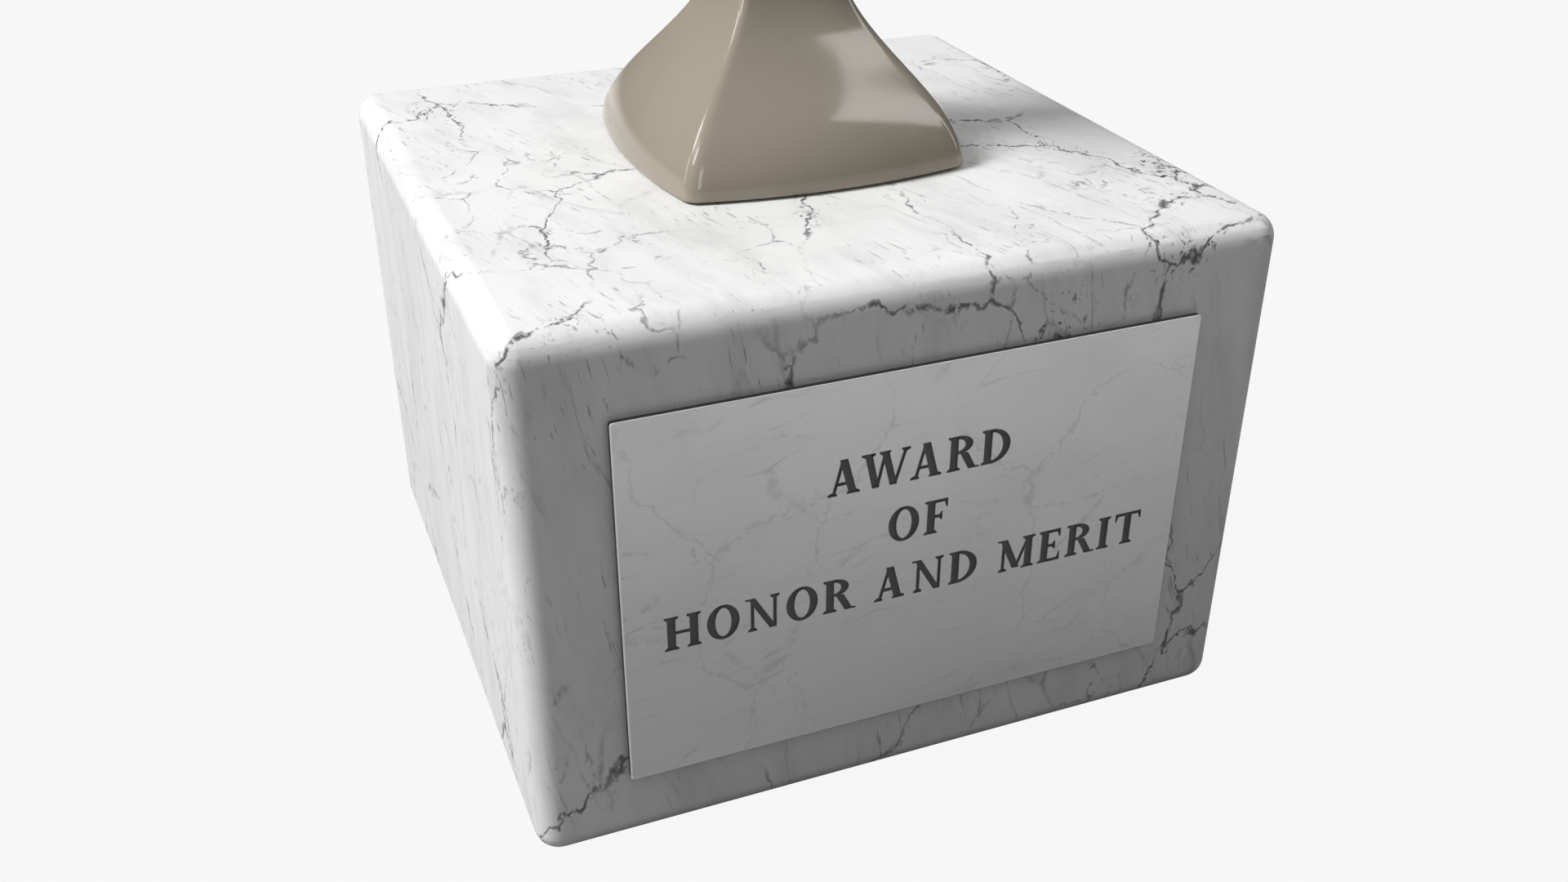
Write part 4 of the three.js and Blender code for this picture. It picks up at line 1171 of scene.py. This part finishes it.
@dataclass
class Cup:
    """The bowl with its two handles and their fixings."""

    palette: Palette
    axis: CupAxis = field(default_factory=CupAxis.from_frame)
    height: float = 104.0 * MM
    belly_share: float = 0.577
    belly_radius: float = 39.0 * MM
    belly_fullness: float = 0.62
    seat_share: float = 0.06
    lip_flare: float = 4.6 * MM
    wall: float = 2.2 * MM
    floor: float = 4.5 * MM
    bulge: float = 0.2
    ridge_softness: float = 0.1
    round_share: float = 0.635
    top_share: float = 0.808
    bottom_share: float = 0.279
    widest_share: float = 0.663
    stand_off: float = 24.0 * MM
    top_pull: float = 0.92
    bottom_pull: float = 0.62
    shoulder_pull: float = 0.125
    grip_pull: float = 0.27
    grip_thickness: float = 7.6 * MM
    grip_breadth: float = 6.4 * MM
    end_swell: float = 0.4
    washer_radius: float = 3.6 * MM
    washer_thickness: float = 0.6 * MM
    head_radius: float = 2.8 * MM
    head_height: float = 1.8 * MM
    screw_radius: float = 1.5 * MM
    screw_bite: float = 7.8 * MM
    clearance: float = 0.3 * MM
    steps_round: int = 144

    def __post_init__(self) -> None:
        """Finds the height of the bowl's seat."""
        self.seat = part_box("bowl")[0][2]

    def build(self) -> None:
        """Builds the bowl, both handles and their washers and screws."""
        self.build_bowl()
        for side_name, side in (("right", 1), ("left", -1)):
            self.build_handle(side_name, side)
            for joint, share in (("upper", self.top_share), ("lower", self.bottom_share)):
                self.build_fixing(f"{side_name}_{joint}", share * self.height, side)

    def radius_at(self, height: float) -> float:
        """Returns the bowl's outer radius across its sides, at a height above its seat."""
        belly_height = self.belly_share * self.height
        belly = min(self.seat_share + (1.0 - self.seat_share) * height / belly_height, 1.0)
        rise = max(0.0, (height - belly_height) / (self.height - belly_height))
        return self.belly_radius * (1.0 - (1.0 - belly) ** 2) ** self.belly_fullness + self.lip_flare * rise ** 2.2

    def wall_at(self, height: float) -> tuple[float, float, float]:
        """Returns the wall's radius and its outward normal's radial and upward parts."""
        step = 0.01 * MM
        slope = (self.radius_at(height + step) - self.radius_at(height)) / step
        length = math.hypot(1.0, slope)
        return self.radius_at(height), 1.0 / length, -slope / length

    def profile(self, offset: float, steps: int = 44) -> list[tuple[float, float]]:
        """Returns the wall's profile moved outwards by an offset.

        Args:
            offset: how far, in metres.
            steps: steps from seat to lip.

        Returns:
            Radius and height of each point, upwards.
        """
        points = []
        for step in range(steps + 1):
            height = self.height * (step / steps) ** 1.4
            radius, out, up = self.wall_at(height)
            points.append((radius + offset * out, self.seat + height + offset * up))
        return points

    def build_bowl(self) -> None:
        """Builds the bowl with its rounded lip, pressed from a bowed square to a circle."""
        floor = self.seat + self.floor
        outside = self.profile(0.0)
        inside = [point for point in self.profile(-self.wall) if point[1] > floor + self.wall / 2][::-1]
        (lip_radius, lip_height), (inner_radius, inner_height) = outside[-1], inside[0]
        lip = []
        for angle in sweep(0.0, math.pi, 12)[1:-1]:
            inward = (1.0 - math.cos(angle)) / 2
            lip.append((lerp(lip_radius, inner_radius, inward),
                        lerp(lip_height, inner_height, inward) + self.wall / 2 * math.sin(angle)))
        radius, top = inside[-1]
        fillet = arc((radius - self.wall, top), self.wall, floor - top, sweep(0.0, QUARTER, 6)[1:])
        seat = (ROD_HOLE, self.seat)
        bowl = self.axis.turn([seat, *outside, *lip, *inside, *fillet, (ROD_HOLE, floor), seat], self.steps_round)

        def section_at(z: float) -> BowedSquare:
            """Returns the bowl's section at a height."""
            roundness = smoothstep(z - self.seat, 0.0, self.round_share * self.height)
            bulge = lerp(self.bulge, math.sqrt(2.0) - 1.0, roundness)
            return BowedSquare(bulge, self.ridge_softness * (1.0 - roundness))

        press_square(bowl, self.axis, section_at, 0.0)
        Bench.smooth(bowl, 40.0)
        Bench.hand_over(bowl, "tulip_bowl", self.palette.lacquer, "lacquer", "bowl")

    def out_of_wall(self, height: float, distance: float, side: int) -> Vector:
        """Returns the point this far out of the wall along its normal, on one side of the cup."""
        radius, out, up = self.wall_at(height)
        reach = self.axis.x + side * (radius + distance * out)
        return Vector((reach, self.axis.y, self.seat + height + distance * up))

    def build_handle(self, side_name: str, side: int) -> None:
        """Builds an ear-shaped handle that swells where it meets the bowl.

        Args:
            side_name: right or left.
            side: 1 for +X or -1 for -X.
        """
        top, bottom = self.top_share * self.height, self.bottom_share * self.height
        reach = self.axis.x + side * (self.belly_radius + self.stand_off)

        def upright(share: float) -> Vector:
            """Returns a point above or below the grip's widest point, at a share of the bowl's height."""
            return Vector((reach, self.axis.y, self.seat + share * self.height))

        Bench.start()
        bpy.ops.curve.primitive_bezier_curve_add(location=(0.0, 0.0, 0.0))
        curve = bpy.context.object
        spline = curve.data.splines[0]
        spline.bezier_points.add(1)
        for point in spline.bezier_points:
            point.handle_left_type = point.handle_right_type = "FREE"
        first, middle, last = spline.bezier_points
        first.co = self.out_of_wall(top, -self.wall / 2, side)
        first.handle_right = self.out_of_wall(top, self.top_pull * self.stand_off, side)
        first.handle_left = 2.0 * first.co - first.handle_right
        middle.co = upright(self.widest_share)
        middle.handle_left = upright(self.widest_share + self.shoulder_pull)
        middle.handle_right = upright(self.widest_share - self.grip_pull)
        last.co = self.out_of_wall(bottom, -self.wall / 2, side)
        last.handle_left = self.out_of_wall(bottom, self.bottom_pull * self.stand_off, side)
        last.handle_right = 2.0 * last.co - last.handle_left
        bpy.ops.object.mode_set(mode="EDIT")
        bpy.ops.curve.select_all(action="SELECT")
        bpy.ops.curve.subdivide(number_cuts=11)
        bpy.ops.object.mode_set(mode="OBJECT")
        points = curve.data.splines[0].bezier_points
        for order, point in enumerate(points):
            from_middle = abs(2.0 * order / (len(points) - 1) - 1.0)
            point.radius = 1.0 + self.end_swell * from_middle ** 5
        shape = {"dimensions": "3D", "bevel_depth": self.grip_thickness / 2, "bevel_resolution": 10,
                 "resolution_u": 5, "use_fill_caps": True}
        for name, value in shape.items():
            setattr(curve.data, name, value)
        bpy.ops.object.convert(target="MESH")
        handle = bpy.context.object
        Bench.edit("VERT")
        squeeze = (1.0, self.grip_breadth / self.grip_thickness, 1.0)
        bpy.ops.transform.resize(value=squeeze, center_override=(self.axis.x, self.axis.y, 0.0))
        Bench.heal()
        Bench.smooth(handle, 40.0)
        Bench.hand_over(handle, f"ear_handle_{side_name}", self.palette.lacquer, "lacquer", f"handle_{side_name}")

    def place_on_wall(self, piece: Piece, height: float, side: int) -> None:
        """Turns a piece made along +Z so that it points out of the wall, and puts its place in its mesh.

        Args:
            piece: the piece, made round the Z axis.
            height: above the bowl's seat.
            side: 1 for +X or -1 for -X.
        """
        _, out, up = self.wall_at(height)
        Bench.take(piece)
        piece.rotation_euler = (0.0, side * math.atan2(out, up), 0.0)
        piece.location = self.out_of_wall(height, 0.0, side)
        Bench.settle()

    def build_fixing(self, joint: str, height: float, side: int) -> None:
        """Builds one joint's nylon washer and domed socket screw.

        Args:
            joint: the joint's name.
            height: its height above the bowl's seat.
            side: 1 for +X or -1 for -X.
        """
        inside = self.radius_at(height) - self.wall
        top = -self.wall - self.clearance - self.washer_radius ** 2 / (2.0 * inside) - inside * 0.0038
        ease = 0.12 * MM
        hole = self.screw_radius + self.clearance
        bottom = top - self.washer_thickness
        washer = Bench.turn([
            (hole, bottom), (self.washer_radius - ease, bottom), (self.washer_radius, bottom + ease),
            (self.washer_radius, top - ease), (self.washer_radius - ease, top), (hole, top), (hole, bottom),
        ], 64)
        Bench.smooth(washer, 30.0)
        self.place_on_wall(washer, height, side)
        node = f"handle_washer_{joint}"
        Bench.hand_over(washer, f"flat_{node}", self.palette.nylon, "nylon", node)

        face = bottom - self.clearance
        crown = face - self.head_height
        flat = 0.55 * self.head_radius
        rise = 0.8 * self.head_height
        profile = [(0.0, crown), (flat, crown)]
        profile += arc((flat, crown + rise), self.head_radius - flat, rise, sweep(-QUARTER, 0.0, 8)[1:])
        profile += [(self.head_radius, face), (self.screw_radius, face), (self.screw_radius, self.screw_bite - MM)]
        profile += [(0.4 * self.screw_radius, self.screw_bite), (0.0, self.screw_bite)]
        screw = Bench.turn(profile, 48)
        Bench.cut(screw, Bench.post(1.4 * MM, crown - MM, crown + MM, 0.0, 0.0, 6))
        Bench.smooth(screw, 30.0)
        self.place_on_wall(screw, height, side)
        node = f"handle_screw_{joint}"
        Bench.hand_over(screw, f"domed_{node}", self.palette.polished, "polished_steel", node)


# ---------------------------------------------------------------- tie rod and its fixings


@dataclass
class TieRod:
    """The rod that holds the cup to the marble, with its nuts and washers."""

    palette: Palette
    axis: CupAxis = field(default_factory=CupAxis.from_frame)
    hole: float = 3.3 * MM
    grip_height: float = 4.6 * MM
    flats: float = 10.0 * MM
    overlap: float = 0.3 * MM

    def build(self) -> None:
        """Builds the parts seen inside the bowl and dresses those hidden in the marble."""
        self.build_ring("cup_washer", "spun_cup_washer", self.palette.polished, "polished_steel", 0.2 * MM)
        self.build_ring("cup_seal", "moulded_cup_seal", self.palette.rubber, "rubber", 0.35 * MM)
        self.build_dome_nut()
        dress("tie_rod", self.palette.threaded)
        for node in ("base_nut", "spring_washer", "base_washer"):
            dress(node, self.palette.zinc)

    def build_ring(self, node: str, name: str, material: Material, slot: str, ease: float) -> None:
        """Builds a flat ring with rounded edges.

        Args:
            node: the CAD ring that it stands for.
            name: the piece's name.
            material: its finish.
            slot: the name of its material slot, handed on to Bench.hand_over.
            ease: the rounding of its outer edges.
        """
        low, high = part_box(node)
        radius = (high[0] - low[0]) / 2
        profile = [(self.hole, low[2])]
        profile += arc((radius - ease, low[2] + ease), ease, ease, sweep(-QUARTER, 0.0, 4))
        profile += arc((radius - ease, high[2] - ease), ease, ease, sweep(0.0, QUARTER, 4))
        profile += [(self.hole, high[2]), profile[0]]
        ring = self.axis.turn(profile, 96)
        Bench.smooth(ring, 35.0)
        Bench.hand_over(ring, name, material, slot, node)

    def build_dome_nut(self) -> None:
        """Builds the domed cap nut: a chamfered hexagon with a polished dome on it."""
        low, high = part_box("dome_nut")
        bottom, top = low[2], low[2] + self.grip_height
        corner, turned = self.flats / math.sqrt(3.0), self.flats / 2
        ease = (corner - turned) / 2
        nut = self.axis.post(corner, bottom, top, 6)
        blank = [(0.0, bottom), (turned, bottom), (corner, bottom + ease),
                 (corner, top - ease), (turned, top), (0.0, top)]
        Bench.cut(nut, self.axis.turn(blank, 72), "INTERSECT")
        radius, base = 0.94 * turned, top - self.overlap
        dome = [(0.0, base - MM), (radius, base - MM)]
        dome += arc((0.0, base), radius, high[2] - base, sweep(0.0, QUARTER, 14)[:-1])
        Bench.cut(nut, self.axis.turn([*dome, (0.0, high[2])], 72), "UNION")
        rod_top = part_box("tie_rod")[1][2]
        Bench.cut(nut, self.axis.post(self.hole, bottom - MM, rod_top + self.overlap, 48))
        Bench.ease(nut, 0.1 * MM, 2, 28.0)
        Bench.smooth(nut, 25.0)
        Bench.hand_over(nut, "domed_cap_nut", self.palette.polished, "polished_steel", "dome_nut")


# ---------------------------------------------------------------- studio


@dataclass(frozen=True)
class Lamp:
    """An oblong area light that faces the trophy's base and that the camera doesn't see."""

    name: str
    place: Point
    size: tuple[float, float]
    watts: float
    roll: float = 0.0
    lights: bool = True
    mirrored: bool = True
    aim_share: float = 0.35

    def build(self) -> None:
        """Makes the light."""
        lamp = bpy.data.lights.new(self.name, "AREA")
        lamp.shape = "RECTANGLE"
        lamp.size, lamp.size_y = self.size
        lamp.energy = self.watts
        light = bpy.data.objects.new(self.name, lamp)
        bpy.context.scene.collection.objects.link(light)
        light.location = self.place
        low, high = CAD_BOX
        target = Vector((0.0, 0.0, lerp(low[2], high[2], self.aim_share)))
        facing = (target - Vector(self.place)).to_track_quat("-Z", "Y").to_matrix().to_4x4()
        light.rotation_euler = (facing @ Matrix.Rotation(math.radians(self.roll), 4, "Z")).to_euler()
        light.visible_camera = False
        light.visible_diffuse = self.lights
        light.visible_glossy = self.mirrored


KEY_PLACE = (-0.95, 0.06, 1.02)
LAMPS = (
    Lamp("key", KEY_PLACE, (0.42, 0.42), 19.5, mirrored=False),
    Lamp("key gleam", KEY_PLACE, (0.8, 0.4), 10.0, lights=False),
    Lamp("gloss box", (0.64, -0.4, 0.8), (0.24, 0.5), 1.45, roll=22.0, lights=False),
    Lamp("far fill", (1.0, 0.8, 0.27), (0.5, 0.4), 4.6, mirrored=False),
    *(Lamp(f"strip {number}", place, (0.13, 0.55), 0.8, lights=False)
      for number, place in enumerate(((0.95, -0.3, 0.42), (-0.3, -1.0, 0.45), (-0.98, 0.42, 0.36)), 1)),
)


@dataclass
class Studio:
    """The camera, the pale floor and the bright surround."""

    backdrop: float = 0.93
    floor_radius: float = 7.0
    floor_bounce: float = 0.135
    floor_glow: float = 1.065
    floor_seen: float = 0.93
    gloss_shaded_near: float = 0.45
    gloss_far: float = 0.92
    gloss_outer: float = 1.0
    horizon: float = 0.06
    zenith: float = 0.5
    film_width: float = 36.0
    lens: float = 35.09
    camera_place: Point = (-0.07421, -0.19045, 0.14176)
    heading: float = -21.811
    tilt: float = 60.437
    roll: float = 0.0665

    def build_camera(self) -> None:
        """Makes the camera and makes it the scene's own."""
        lens = bpy.data.cameras.new("camera")
        lens.lens = self.lens
        lens.sensor_width = self.film_width
        lens.clip_start = 0.01
        lens.clip_end = 60.0
        camera = bpy.data.objects.new("camera", lens)
        bpy.context.scene.collection.objects.link(camera)
        camera.location = self.camera_place
        turn = Matrix.Identity(4)
        for angle, axis in ((self.heading, "Z"), (self.tilt, "X"), (self.roll, "Z")):
            turn = turn @ Matrix.Rotation(math.radians(angle), 4, axis)
        camera.rotation_euler = turn.to_euler()
        bpy.context.scene.camera = camera

    def build(self) -> None:
        """Makes the surround, the floor and the lights."""
        bpy.context.scene.view_settings.view_transform = "Standard"
        self.build_surround()
        self.build_floor()
        for lamp in LAMPS:
            lamp.build()

    def build_surround(self) -> None:
        """Makes a surround that is bright to the camera and lights the object more from above."""
        world = bpy.data.worlds.new("surround")
        world.use_nodes = True
        bpy.context.scene.world = world
        tree = Tree(world.node_tree)
        height = tree.parts(tree.add("TexCoord").outputs["Generated"])[2]
        glow = tree.ramp(height, -0.05, 1.0, self.horizon, self.zenith)
        seen = tree.add("LightPath").outputs["Is Camera Ray"]
        level = tree.plus(glow, tree.times(seen, tree.minus(self.backdrop, glow)))
        background = world.node_tree.nodes["Background"].inputs
        tree.put(grey(1.0), background["Color"])
        tree.put(level, background["Strength"])

    def build_floor(self) -> None:
        """Makes the pale floor, which shows only a trace of the object's shadow; in reflections its tone holds
        painted shade near the block and painted light farther out.
        """
        Bench.start()
        bpy.ops.mesh.primitive_circle_add(vertices=96, radius=self.floor_radius, fill_type="NGON",
                                          location=(0.0, 0.0, 0.0))
        floor = Bench.settle()
        floor.name = "floor"
        coating = Coating("pale floor")
        tree = coating.tree
        mottle = tree.ramp(tree.noise(coating.place, 9.0, 3.0), 0.3, 0.7, 0.0, 0.03)
        base = tree.mix(mottle, grey(self.floor_bounce), grey(self.floor_bounce * 0.9))
        path = tree.add("LightPath").outputs
        x, y, _ = tree.parts(coating.place)
        # painted shade: the floor's tone in reflections is darker close to the block's front and towards the left,
        # standing in for the block's shade
        toward_front = tree.ramp(y, -0.19, -0.07, 1.0, 0.0)
        leftward_shade = tree.ramp(x, -0.08, 0.06, 0.68, 1.02)
        sheen = tree.mix(toward_front, grey(self.gloss_shaded_near), tree.times(leftward_shade, self.gloss_far))
        # painted light: the reflected floor tone grows brighter farther out
        distant = tree.ramp(tree.vector("LENGTH", coating.place), 0.34, 0.6)
        sheen = tree.mix(distant, sheen, grey(self.gloss_outer))
        base = tree.mix(path["Is Glossy Ray"], base, sheen)
        coating.set(Base_Color=base, Roughness=0.8, Specular_IOR_Level=0.0)
        glow = tree.add("Emission", {"Color": grey(1.0), "Strength": self.backdrop * self.floor_glow})
        seen = tree.times(path["Is Camera Ray"], self.floor_seen)
        mixed = tree.add("MixShader", {0: seen, 1: coating.shader.outputs[0], 2: glow.outputs[0]})
        tree.put(mixed.outputs[0], coating.material.node_tree.nodes["Material Output"].inputs["Surface"])
        floor.data.materials.append(coating.material)


def write_sizes() -> None:
    """Updates the view layer."""
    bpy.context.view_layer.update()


def main() -> None:
    """Builds the camera, the pieces and the studio, in order."""
    logging.basicConfig(level=logging.INFO, format="%(name)s %(message)s")
    studio = Studio()
    studio.build_camera()
    palette = Palette(Effects())
    for assembly in (Base(palette), Pedestal(palette), Cup(palette), TieRod(palette)):
        LOG.info("building %s", type(assembly).__name__)
        assembly.build()
    studio.build()
    write_sizes()


if __name__ == "__main__":
    main()
